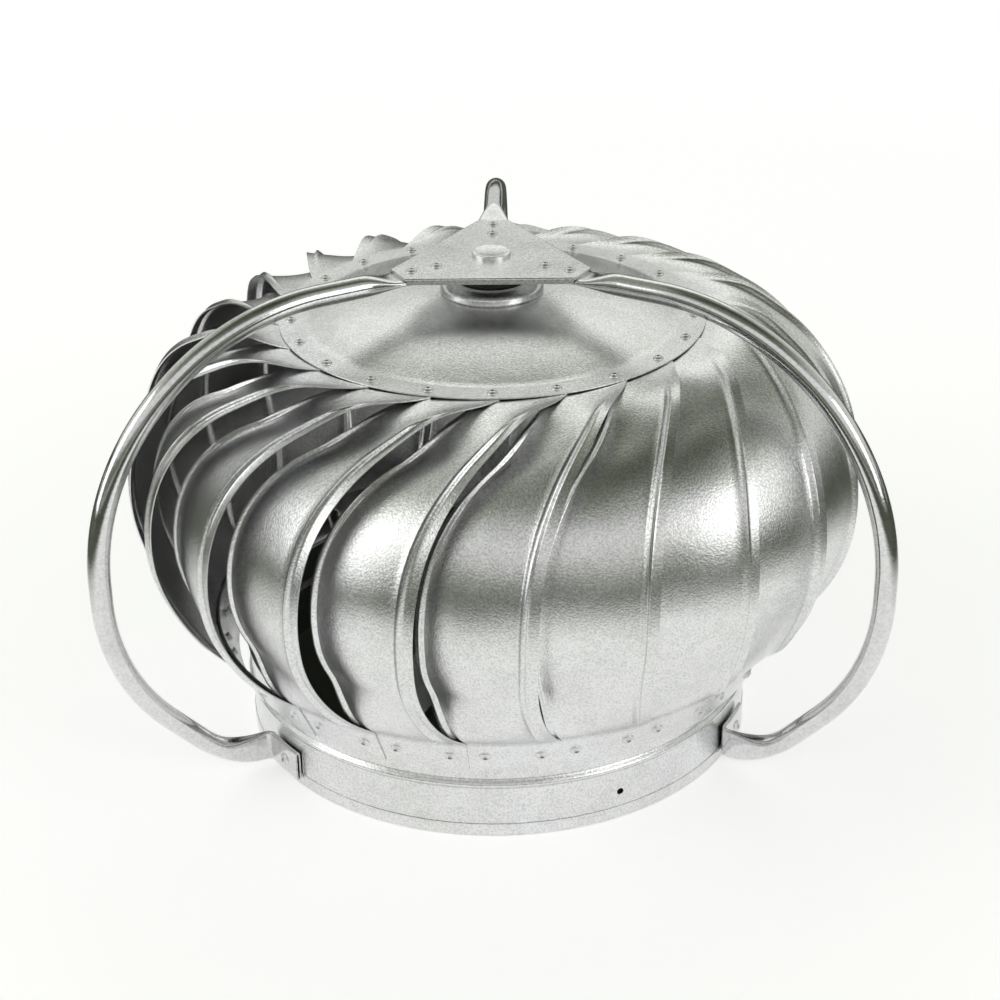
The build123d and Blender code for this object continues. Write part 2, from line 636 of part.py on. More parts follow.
def brace_legs():
    """The centre line of a brace in its own plane, as (length, turning radius) legs."""
    lean = math.radians(BRACE_MID_ANGLE)
    low_turn = math.pi / 2 - lean
    reach = foot_bend()[0] + BRACE_BEND_LOW * math.sin(low_turn)
    reach += BRACE_LOW_RUN * math.sin(lean) + BRACE_BEND_MID * (1 - math.cos(lean))
    drop = BRACE_MID_RUN + BRACE_BEND_MID * math.sin(lean)
    drop += BRACE_LOW_RUN * math.cos(lean) + BRACE_BEND_LOW * (1 - math.cos(low_turn))
    top_bend = TUBE_TOP_Z - FOOT_Z - drop
    return [
        (reach - top_bend - TUBE_END_R, None),
        (top_bend * math.pi / 2, top_bend),
        (BRACE_MID_RUN, None),
        (BRACE_BEND_MID * lean, BRACE_BEND_MID),
        (BRACE_LOW_RUN, None),
        (BRACE_BEND_LOW * low_turn, BRACE_BEND_LOW),
    ]


def brace_frame(distance):
    """Point and section axes on a brace along +X, distance mm from its plate end."""
    x, z, heading = TUBE_END_R, TUBE_TOP_Z, 0.0
    left = distance
    for length, radius in brace_legs():
        part = min(left, length)
        if radius:
            turn = part / radius
            x += radius * (math.sin(heading) - math.sin(heading - turn))
            z += radius * (math.cos(heading - turn) - math.cos(heading))
            heading -= turn
        else:
            x += part * math.cos(heading)
            z += part * math.sin(heading)
        left -= part
        if left <= 0:
            break
    side = Vector(0, 1, 0)
    across = Vector(-math.sin(heading), 0, math.cos(heading))
    if left <= 0:
        return Vector(x, 0, z), side, across
    return foot_frame(left)


def foot_frame(distance):
    """Point and section axes on the foot, distance mm after the brace's own plane."""
    start_x, foot_angle = foot_bend()
    bend = math.pi / 2 - foot_angle
    turn = min(distance / FOOT_TURN_R, bend)
    beyond = max(0.0, distance - bend * FOOT_TURN_R)
    if beyond > 0:
        angle = foot_angle + beyond / FOOT_R
        side = Vector(math.cos(angle), math.sin(angle), 0)
        return side * FOOT_R + Vector(0, 0, FOOT_Z), side, Vector(0, 0, -1)
    side = Vector(math.sin(turn), math.cos(turn), 0)
    point = Vector(start_x, FOOT_TURN_R, FOOT_Z) - side * FOOT_TURN_R
    return point, side, Vector(0, 0, -1)


def press_ends():
    """Distances where the tube is flat, round, round and flat again."""
    to_foot = sum(length for length, _ in brace_legs())
    plate_flat = PLATE_CORNER_R + FLAT_PAST_PLATE - TUBE_END_R
    return plate_flat, plate_flat + PLATE_PRESS_LENGTH, to_foot - FOOT_PRESS_LENGTH, to_foot


def brace_section(distance, wall):
    """The closed section of a brace, flat at both ends and round between them."""
    flat, round_from, round_to, foot_flat = press_ends()
    top = 1 - smooth_step(distance, flat, round_from)
    foot = smooth_step(distance, round_to, foot_flat)
    half_w = TUBE_R + (FLAT_W / 2 - TUBE_R) * top + (FLAT_T / 2 - TUBE_R) * foot - wall
    half_h = TUBE_R + (FLAT_T / 2 - TUBE_R) * top + (FLAT_W / 2 - TUBE_R) * foot - wall
    power = 2 / (2 + (FLAT_POWER - 2) * (top + foot))
    point, side, across = brace_frame(distance)
    points = []
    for i in range(SECTION_POINTS):
        c = math.cos(2 * math.pi * i / SECTION_POINTS)
        s = math.sin(2 * math.pi * i / SECTION_POINTS)
        out = math.copysign(abs(c) ** power, c) * half_w
        up = math.copysign(abs(s) ** power, s) * half_h
        points.append(point + side * out + across * up)
    return Wire([Edge.make_spline(points, periodic=True)])


def brace_face(distance):
    """The tube's own section, with its hollow."""
    return Face(brace_section(distance, 0.0), [brace_section(distance, TUBE_WALL)])


def brace_run(start, end, radius):
    """A straight or bent piece of tube with one section, between two distances."""
    face = brace_face(start)
    point, _, across = brace_frame(start)
    if radius:
        centre = point - across * radius
        return revolve(face, Axis(centre, (0, 1, 0)), math.degrees((end - start) / radius))
    return extrude(face, end - start, dir=Vector(across.Z, 0, -across.X))


def brace_press(start, end):
    """A piece of tube whose section changes between two distances."""
    stations = [start + (end - start) * i / PRESS_STATIONS for i in range(PRESS_STATIONS + 1)]
    outer, inner = [Solid.make_loft([brace_section(distance, wall) for distance in stations])
                    for wall in (0.0, TUBE_WALL)]
    return outer - inner


def brace():
    """One brace along +X: a bent tube, pressed flat at both ends, with its holes."""
    flat, round_from, round_to, foot_flat = press_ends()
    tube = brace_run(0.0, flat, None) + brace_press(flat, round_from)
    start = 0.0
    for length, radius in brace_legs():
        low = max(start, round_from)
        high = min(start + length, round_to)
        if high > low:
            tube += brace_run(low, high, radius)
        start += length
    tube += brace_press(round_to, foot_flat)
    start_x, foot_angle = foot_bend()
    bend_axis = Axis((start_x, FOOT_TURN_R, 0), (0, 0, -1))
    tube += revolve(brace_face(foot_flat), bend_axis, 90 - math.degrees(foot_angle))
    bent = foot_flat + (math.pi / 2 - foot_angle) * FOOT_TURN_R
    tube += revolve(brace_face(bent), Axis.Z, math.degrees(FOOT_LENGTH / FOOT_R))
    for r in PLATE_RIVETS_R:
        tube -= Pos(r, 0, TUBE_TOP_Z) * rivet_hole()
    foot_cut = Pos(FOOT_R, 0, FOOT_Z) * Rot(0, 90, 0) * rivet_hole()
    return tube - turned(foot_cut, foot_rivet_turn())


def plate_outline(inradius, corner_r):
    """The plate's outline: a triangle with its corners, over the braces, cut off."""
    half = (2 * inradius - corner_r) * math.tan(math.pi / 6)
    points = []
    for turn in BRACE_NAMES.values():
        for side in (-half, half):
            points.append(Vector(corner_r, side, 0).rotate(Axis.Z, turn))
    return make_face(Polyline(*points, close=True))


def brace_plate():
    """The plate that joins the braces over the rotor, with turned-down long edges."""
    plate = Pos(0, 0, PLATE_Z - PLATE_FLANGE) * extrude(
        plate_outline(PLATE_INRADIUS, PLATE_CORNER_R), PLATE_FLANGE)
    long_edges = plate.edges().group_by(Axis.Z)[-1].sort_by(SortBy.LENGTH)[-len(BRACE_NAMES):]
    plate = fillet(long_edges, PLATE_EDGE_R)
    pocket_r = PLATE_CORNER_R + PLATE_T
    pocket = extrude(plate_outline(PLATE_INRADIUS - PLATE_T, pocket_r), PLATE_FLANGE - PLATE_T)
    plate -= Pos(0, 0, PLATE_Z - PLATE_FLANGE) * pocket
    slot = Box(PLATE_CORNER_R, FLAT_W + 2 * TUBE_SLOT_GAP, PLATE_FLANGE - PLATE_T,
               align=(Align.MIN, Align.CENTER, Align.MAX))
    for turn in BRACE_NAMES.values():
        plate -= turned(Pos(TUBE_END_R, 0, PLATE_UNDER_Z) * slot, turn)
        for r in PLATE_RIVETS_R:
            plate -= turned(Pos(r, 0, PLATE_Z) * rivet_hole(), turn)
    return plate - Pos(0, 0, PLATE_Z) * Cylinder(SHAFT_R + SEAT, HOLE_LENGTH)


def plate_rivets():
    """Two rivets at each corner of the plate, through the flattened brace."""
    model = rivet(PLATE_RIVET_HEAD_R, PLATE_T + LAP_GAP + FLAT_T)
    return [turned(Pos(r, 0, PLATE_Z) * model, turn)
            for turn in BRACE_NAMES.values() for r in PLATE_RIVETS_R]


def foot_rivets():
    """One rivet in each foot, set flush inside the throat so that the stack passes."""
    face_r = FOOT_R + FLAT_T / 2 + LAP_GAP
    model = rivet(FOOT_RIVET_HEAD_R, face_r - THROAT_R - LAP_GAP, tail=False)
    return [turned(Pos(face_r, 0, FOOT_Z) * Rot(0, 90, 0) * model, turn + foot_rivet_turn())
            for turn in BRACE_NAMES.values()]


# ================================================================ shaft
def shaft():
    """The fixed pin: a domed head on the plate and a plain stem down to its nut."""
    bottom = NUT_Z - SHAFT_END
    chamfer = SHAFT_HEAD_T / 4
    return ring_of([
        (0, bottom),
        (SHAFT_R - chamfer, bottom),
        (SHAFT_R, bottom + chamfer),
        (SHAFT_R, PLATE_Z),
        (SHAFT_HEAD_R, PLATE_Z),
        (SHAFT_HEAD_R, PLATE_Z + SHAFT_HEAD_T - chamfer),
        (SHAFT_HEAD_R - chamfer, PLATE_Z + SHAFT_HEAD_T),
        (0, PLATE_Z + SHAFT_HEAD_T),
    ])


def shaft_nut():
    """The hexagon nut that holds the stack of races and spacers on the shaft."""
    hexagon = extrude(RegularPolygon(NUT_AF / 2, 6, major_radius=False), NUT_T)
    nut = Pos(0, 0, NUT_Z) * hexagon
    return nut - Pos(0, 0, NUT_Z) * Cylinder(SHAFT_R + SEAT, 2 * NUT_T)


# ================================================================ assembly
def build():
    """Every piece of the ventilator, by node name."""
    upper_inner, upper_outer, upper_balls, upper_cage = bearing(UPPER_BEARING_Z)
    lower_inner, lower_outer, lower_balls, lower_cage = bearing(LOWER_BEARING_Z)
    spacer_r = SHAFT_R + SPACER_WALL
    stem_r = SHAFT_R + SEAT
    pieces = {
        "collar": [collar()],
        "brace_plate": [brace_plate()],
        "plate_rivets": plate_rivets(),
        "foot_rivets": foot_rivets(),
        "shaft": [shaft()],
        "upper_spacer": [tube_of(stem_r, spacer_r, UPPER_BEARING_Z + BEARING_HALF, PLATE_UNDER_Z)],
        "distance_tube": [tube_of(stem_r, spacer_r, LOWER_BEARING_Z + BEARING_HALF,
                                  UPPER_BEARING_Z - BEARING_HALF)],
        "shaft_washer": [tube_of(stem_r, WASHER_R, WASHER_Z, WASHER_Z + WASHER_T)],
        "shaft_nut": [shaft_nut()],
        "upper_inner_race": [upper_inner],
        "upper_outer_race": [upper_outer],
        "upper_balls": upper_balls,
        "upper_cage": [upper_cage],
        "lower_inner_race": [lower_inner],
        "lower_outer_race": [lower_outer],
        "lower_balls": lower_balls,
        "lower_cage": [lower_cage],
        "bearing_housing": [bearing_housing()],
        "upper_dust_cap": [dust_cap()],
        "crown": [crown()],
        "lower_ring": [lower_ring()],
        "spider": [spider()],
        "crown_rivets": crown_rivets(),
        "ring_rivets": ring_rivets(),
    }
    one_brace = brace()
    for name, turn in BRACE_NAMES.items():
        pieces[f"brace_{name}"] = [turned(one_brace, turn)]
    one_vane = vane()
    for i in range(VANE_COUNT):
        pieces[f"vane_{i + 1:02d}"] = [turned(one_vane, PITCH * i)]
    return pieces


def main():
    """Write every node to its own STEP file."""
    os.makedirs("parts", exist_ok=True)
    for name, shapes in build().items():
        solids = [solid for shape in shapes for solid in shape.solids()]
        shape = solids[0] if len(solids) == 1 else Compound(solids)
        export_step(shape, f"parts/{name}.step")


if __name__ == "__main__":
    main()
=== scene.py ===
"""Dressed scene of a roof turbine ventilator.

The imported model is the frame. Smooth sheet-metal pieces replace the visible
nodes, rivets come from Geometry Nodes, and every other node gets a procedural
metal or plastic finish.
"""
import json
import logging
import math
from dataclasses import dataclass, field
from enum import Enum

import bmesh
import bpy
from mathutils import Matrix, Vector


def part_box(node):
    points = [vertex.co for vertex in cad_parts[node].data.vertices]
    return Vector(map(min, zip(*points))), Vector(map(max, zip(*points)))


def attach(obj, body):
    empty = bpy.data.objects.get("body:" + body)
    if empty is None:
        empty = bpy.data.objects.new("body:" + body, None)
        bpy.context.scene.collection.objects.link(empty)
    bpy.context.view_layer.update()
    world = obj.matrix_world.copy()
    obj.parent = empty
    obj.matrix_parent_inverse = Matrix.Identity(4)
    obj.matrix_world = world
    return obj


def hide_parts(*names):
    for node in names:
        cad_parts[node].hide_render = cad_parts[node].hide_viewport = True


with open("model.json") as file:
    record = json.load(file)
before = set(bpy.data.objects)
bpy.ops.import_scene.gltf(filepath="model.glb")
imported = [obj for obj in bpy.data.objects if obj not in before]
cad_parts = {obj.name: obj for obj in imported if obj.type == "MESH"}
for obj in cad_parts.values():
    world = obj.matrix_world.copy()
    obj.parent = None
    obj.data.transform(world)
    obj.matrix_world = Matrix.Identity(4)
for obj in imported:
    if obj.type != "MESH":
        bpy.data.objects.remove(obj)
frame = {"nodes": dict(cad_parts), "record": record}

log = logging.getLogger("ventilator")
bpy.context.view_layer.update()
MM = 0.001

Point = tuple[float, float, float]
Colour = tuple[float, float, float]
Profile = list[tuple[float, float]]
Stops = list[tuple[float, Colour]]

# Sizes that several pieces share, in millimetres and degrees, as in the part's source.
SHEET = 0.7
LAP_STEP = 0.8
VANES = 21
PITCH = 360.0 / VANES
CROWN_R = 123.7
CROWN_Z = 259.8
EQUATOR_R = 217.5
EQUATOR_Z = 159.0
TAB_TOP = (175.5, 75.5)
TAB_BOTTOM = (163.0, 50.0)
THROAT_R = 152.7
BRACE_TURNS = {"rear": 90.0, "left": 210.0, "right": 330.0}

# Colours of the zinc's fine specks and crystals, laid over its base colour.
WHITE = (1.0, 1.0, 1.0)
SPECK = (0.52, 0.53, 0.50)
CRYSTAL = (0.84, 0.84, 0.85)

# What metal mirrors, from straight below (0) to straight above (1): behind and in front.
FAR_SKY: Stops = [
    (0.0, (0.62, 0.62, 0.66)), (0.495, (0.56, 0.57, 0.56)), (0.515, (0.03, 0.034, 0.024)),
    (0.55, (0.04, 0.045, 0.03)), (0.59, (0.72, 0.73, 0.70)), (0.70, (0.74, 0.755, 0.72)),
    (0.80, (0.60, 0.62, 0.565)), (0.89, (0.50, 0.52, 0.46)), (0.97, (0.14, 0.15, 0.115)),
    (1.0, (0.06, 0.065, 0.045))]
NEAR_SKY: Stops = [
    (0.0, (0.62, 0.62, 0.66)), (0.50, (0.40, 0.41, 0.38)), (0.54, (0.15, 0.16, 0.125)),
    (0.61, (0.22, 0.235, 0.19)), (0.66, (0.76, 0.76, 0.74)), (0.83, (0.86, 0.86, 0.86)),
    (0.90, (0.12, 0.13, 0.095)), (0.96, (0.045, 0.05, 0.033)), (1.0, (0.06, 0.065, 0.045))]


class Body(Enum):
    """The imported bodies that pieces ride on."""

    FIXED = "fixed"
    ROTOR = "rotor"


# ------------------------------------------------------------------ small helpers
def bump(distance: float, half_width: float) -> float:
    """Give a smooth hump.

    Args:
        distance: distance from its middle.
        half_width: where it reaches zero.
    Returns:
        1 in the middle, 0 outside.
    """
    if abs(distance) >= half_width:
        return 0.0
    return 0.5 * (1 + math.cos(math.pi * distance / half_width))


def smooth_step(x: float, start: float, end: float) -> float:
    """Give a smooth rise from 0 at start to 1 at end.

    Args:
        x: the place.
        start: where it leaves 0.
        end: where it reaches 1.
    Returns:
        The share risen at x.
    """
    t = min(1.0, max(0.0, (x - start) / (end - start)))
    return t * t * (3 - 2 * t)


def around(radius: float, turn: float, z: float) -> Point:
    """Place a point by radius, degrees from -Y towards +X, and height.

    Args:
        radius: distance from the axis, mm.
        turn: degrees.
        z: height, mm.
    Returns:
        The point, mm.
    """
    angle = math.radians(turn)
    return radius * math.sin(angle), -radius * math.cos(angle), z


def add_object(name: str, data: bpy.types.ID) -> bpy.types.Object:
    """Make an object and link it to the scene.

    Args:
        name: the object's name.
        data: its mesh, light or camera.
    Returns:
        The new object.
    """
    obj = bpy.data.objects.new(name, data)
    bpy.context.scene.collection.objects.link(obj)
    return obj


def finish_mesh(obj: bpy.types.Object, sharp: float = 35.0) -> bpy.types.Object:
    """Point faces outward and shade them smooth with sharp creases.

    Args:
        obj: the mesh object.
        sharp: crease angle in degrees.
    Returns:
        The same object.
    """
    bm = bmesh.new()
    bm.from_mesh(obj.data)
    bmesh.ops.remove_doubles(bm, verts=bm.verts, dist=1e-7)
    bmesh.ops.recalc_face_normals(bm, faces=bm.faces)
    bm.to_mesh(obj.data)
    bm.free()
    obj.data.shade_smooth()
    obj.data.set_sharp_from_angle(angle=math.radians(sharp))
    return obj


def loft(name: str, loops: list[list[Point]], closed: bool = False) -> bpy.types.Object:
    """Skin closed loops of points into one closed mesh.

    Args:
        name: the piece's name.
        loops: equal loops of points, mm.
        closed: whether the last loop joins the first; otherwise both ends are capped.
    Returns:
        The new object.
    """
    count = len(loops[0])
    points = [Vector(p) * MM for loop in loops for p in loop]
    faces = []
    for i in range(len(loops) if closed else len(loops) - 1):
        a, b = i * count, (i + 1) % len(loops) * count
        for j in range(count):
            k = (j + 1) % count
            faces.append((a + j, a + k, b + k, b + j))
    if not closed:
        for start in (0, (len(loops) - 1) * count):
            last = start + count - 1
            faces += [(start + j, start + j + 1, last - j - 1, last - j)
                      for j in range(count // 2 - 1)]
    mesh = bpy.data.meshes.new(name)
    mesh.from_pydata(points, [], faces)
    return finish_mesh(add_object(name, mesh))


def lathe(name: str, profile: Profile, segments: int) -> bpy.types.Object:
    """Turn a closed outline of (radius, height) points about the shaft.

    Args:
        name: the piece's name.
        profile: the outline, mm.
        segments: steps round.
    Returns:
        The new object.
    """
    loops = [[around(r, 360 * i / segments, z) for r, z in profile] for i in range(segments)]
    return loft(name, loops, closed=True)


def arc(centre: tuple[float, float], radius: float, start: float, end: float,
        steps: int) -> Profile:
    """Sample an arc in the (radius, height) plane.

    Args:
        centre: its centre, mm.
        radius: its radius, mm.
        start: first angle in degrees.
        end: last angle in degrees.
        steps: number of steps.
    Returns:
        The points.
    """
    angles = [math.radians(start + (end - start) * i / steps) for i in range(steps + 1)]
    return [(centre[0] + radius * math.cos(a), centre[1] + radius * math.sin(a)) for a in angles]


def bake(obj: bpy.types.Object, name: str) -> bpy.types.Object:
    """Turn an object with modifiers into a plain mesh object.

    Args:
        obj: the object; it is removed.
        name: the new object's name.
    Returns:
        The plain object.
    """
    graph = bpy.context.evaluated_depsgraph_get()
    graph.update()
    done = add_object(name, bpy.data.meshes.new_from_object(obj.evaluated_get(graph)))
    bpy.data.objects.remove(obj)
    return done


# ------------------------------------------------------------------ finishes
class Nodes:
    """A short way to write a node tree."""

    def __init__(self, tree: bpy.types.NodeTree) -> None:
        """Keep the tree.

        Args:
            tree: an empty node tree.
        """
        self.tree = tree

    @classmethod
    def of(cls, owner: bpy.types.Material | bpy.types.World) -> "Nodes":
        """Start the node tree of a material or world afresh.

        Args:
            owner: the material or world.
        Returns:
            Its empty tree.
        """
        owner.use_nodes = True
        owner.node_tree.nodes.clear()
        return cls(owner.node_tree)

    def feed(self, socket: bpy.types.NodeSocket, value: object) -> None:
        """Link an input to an output, or set its plain value.

        Args:
            socket: the input.
            value: an output of another node, or a plain value.
        """
        if isinstance(value, bpy.types.NodeSocket):
            self.tree.links.new(value, socket)
        else:
            socket.default_value = value

    def add(self, kind: str, *inputs: object, **values: object) -> bpy.types.Node:
        """Add a node with its properties and inputs.

        Args:
            kind: the node's type name.
            inputs: what its first inputs take, in order.
            values: properties, or inputs by name with spaces written as underscores.
        Returns:
            The node.
        """
        node = self.tree.nodes.new(kind)
        for key, value in values.items():
            label = key.replace("_", " ")
            if label in node.inputs:
                self.feed(node.inputs[label], value)
            else:
                setattr(node, key, value)
        for socket, value in zip(node.inputs, inputs):
            self.feed(socket, value)
        return node

    def math(self, operation: str, *inputs: object) -> bpy.types.NodeSocket:
        """Work out a number.

        Args:
            operation: the name of the operation.
            inputs: what it works on.
        Returns:
            The result.
        """
        return self.add("ShaderNodeMath", *inputs, operation=operation).outputs["Value"]

    def mix(self, factor: object, first: object, second: object,
            blend: str = "MIX") -> bpy.types.NodeSocket:
        """Mix two colours.

        Args:
            factor: how much of the second shows.
            first: the lower colour.
            second: the upper colour.
            blend: how they are mixed.
        Returns:
            The colour output.
        """
        node = self.add("ShaderNodeMix", factor, data_type="RGBA", blend_type=blend)
        self.feed(node.inputs[6], first)
        self.feed(node.inputs[7], second)
        return node.outputs[2]

    def ramp(self, source: bpy.types.NodeSocket, stops: Stops) -> bpy.types.NodeSocket:
        """Map a value to colours.

        Args:
            source: the value.
            stops: (position, colour) pairs.
        Returns:
            The colour output.
        """
        node = self.add("ShaderNodeValToRGB", Fac=source)
        elements = node.color_ramp.elements
        while len(elements) < len(stops):
            elements.new(0.5)
        for element, (place, colour) in zip(elements, stops):
            element.position = place
            element.color = (*colour, 1.0)
        return node.outputs["Color"]


@dataclass(frozen=True)
class Metal:
    """A procedural metal with a grain, soft stains, crystals and a fine bump."""

    name: str
    dark: Colour
    light: Colour
    roughness: tuple[float, float]
    grain: float = 900.0
    stain: float = 14.0
    spangle: float = 0.0
    bump: float = 0.12
    wave: float = 0.0
    contrast: float = 0.55
    metallic: float = 1.0

    def build(self) -> bpy.types.Material:
        """Make the material.

        Returns:
            The material.
        """
        material = bpy.data.materials.new(self.name)
        nodes = Nodes.of(material)
        where = nodes.add("ShaderNodeTexCoord").outputs["Object"]
        stain, grain, wave = (
            nodes.add("ShaderNodeTexNoise", Vector=where, Scale=scale, Detail=detail,
                      Roughness=rough).outputs["Fac"]
            for scale, detail, rough in ((self.stain, 5.0, 0.6), (self.grain, 3.0, 0.7),
                                         (16.0, 1.0, 0.5)))
        shade = nodes.ramp(stain, [(0.3, self.dark), (0.7, self.light)])
        speck = nodes.ramp(grain, [(0.38, SPECK), (0.58, WHITE)])
        shade = nodes.mix(self.contrast, shade, speck, "MULTIPLY")
        if self.spangle:
            cells = nodes.add("ShaderNodeTexVoronoi", Vector=where, Scale=self.spangle)
            tint = nodes.ramp(cells.outputs["Color"], [(0.0, CRYSTAL), (1.0, WHITE)])
            shade = nodes.mix(0.5, shade, tint, "MULTIPLY")
        rough = nodes.add("ShaderNodeMapRange", Value=stain, To_Min=self.roughness[0],
                          To_Max=self.roughness[1])
        swell = nodes.add("ShaderNodeBump", Strength=self.wave, Distance=0.004, Height=wave)
        relief = nodes.add("ShaderNodeBump", Strength=self.bump, Distance=0.0002, Height=grain,
                           Normal=swell.outputs["Normal"])
        shader = nodes.add("ShaderNodeBsdfPrincipled", Metallic=self.metallic, Base_Color=shade,
                           Roughness=rough.outputs["Result"], Normal=relief.outputs["Normal"])
        nodes.add("ShaderNodeOutputMaterial", Surface=shader.outputs["BSDF"])
        return material


class Finishes:
    """Every finish of the object, built once."""

    def __init__(self) -> None:
        """Build the materials."""
        self.sheet = Metal("galvanised sheet", (0.80, 0.805, 0.79), (0.895, 0.895, 0.92),
                           (0.17, 0.28), grain=850.0, spangle=110.0, bump=0.9, wave=0.6,
                           contrast=0.5).build()
        self.tube = Metal("galvanised tube", (0.68, 0.68, 0.68), (0.80, 0.80, 0.81),
                          (0.08, 0.15), grain=500.0, stain=22.0, bump=0.2, contrast=0.3).build()
        self.rivet = Metal("rivet aluminium", (0.74, 0.74, 0.745), (0.86, 0.86, 0.865),
                           (0.30, 0.40), bump=0.05).build()
        # Mandrel steel darkened far below real steel: painted shade of the rivet's hollow.
        self.mandrel_hollow_shade = Metal("mandrel steel", (0.13, 0.13, 0.135), (0.20, 0.20, 0.205),
                             (0.4, 0.5), bump=0.05).build()
        self.steel = Metal("plated steel", (0.88, 0.88, 0.885), (0.95, 0.95, 0.955),
                           (0.30, 0.42), grain=500.0, bump=0.2).build()
        self.bearing = Metal("bearing steel", (0.40, 0.41, 0.43), (0.55, 0.56, 0.58),
                             (0.2, 0.3), grain=500.0, bump=0.05).build()
        self.turned = Metal("turned aluminium", (0.74, 0.74, 0.75), (0.86, 0.86, 0.87),
                            (0.24, 0.34), grain=500.0).build()
        self.black = Metal("black plastic", (0.012, 0.012, 0.014), (0.03, 0.03, 0.032),
                           (0.45, 0.6), metallic=0.0, bump=0.2).build()

    def by_slot(self, slot: str) -> bpy.types.Material:
        """Find the finish of one of the record's slots.

        Args:
            slot: the slot's name.
        Returns:
            Its material.
        """
        return {"galvanised_sheet": self.sheet, "galvanised_tube": self.tube,
                "rivet_aluminium": self.rivet, "bearing_steel": self.bearing,
                "cage_steel": self.bearing, "black_plastic": self.black,
                "housing_aluminium": self.turned, "plated_steel": self.steel}[slot]


def dress(piece: bpy.types.Object, body: Body, slot: str, finishes: Finishes, node: str) -> None:
    """Give a piece its finish and its body, and let it stand for a CAD node.

    Args:
        piece: the piece.
        body: what it rides on.
        slot: its material slot in the record.
        finishes: all finishes.
        node: the CAD node that it replaces.
    """
    if not piece.data.materials:
        piece.data.materials.append(finishes.by_slot(slot))
    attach(piece, body.value)
    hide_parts(node)
    log.info("%s rides on %s and stands for %s", piece.name, body.value, node)


def dress_nodes(finishes: Finishes) -> None:
    """Give every CAD node its procedural finish.

    Args:
        finishes: all finishes.
    """
    slots = {entry["node"]: entry["material_slot"] for entry in frame["record"]["subparts"]}
    for name, node in frame["nodes"].items():
        material = finishes.by_slot(slots[name])
        if not node.material_slots:
            node.data.materials.append(material)
        for place in node.material_slots:
            place.material = material


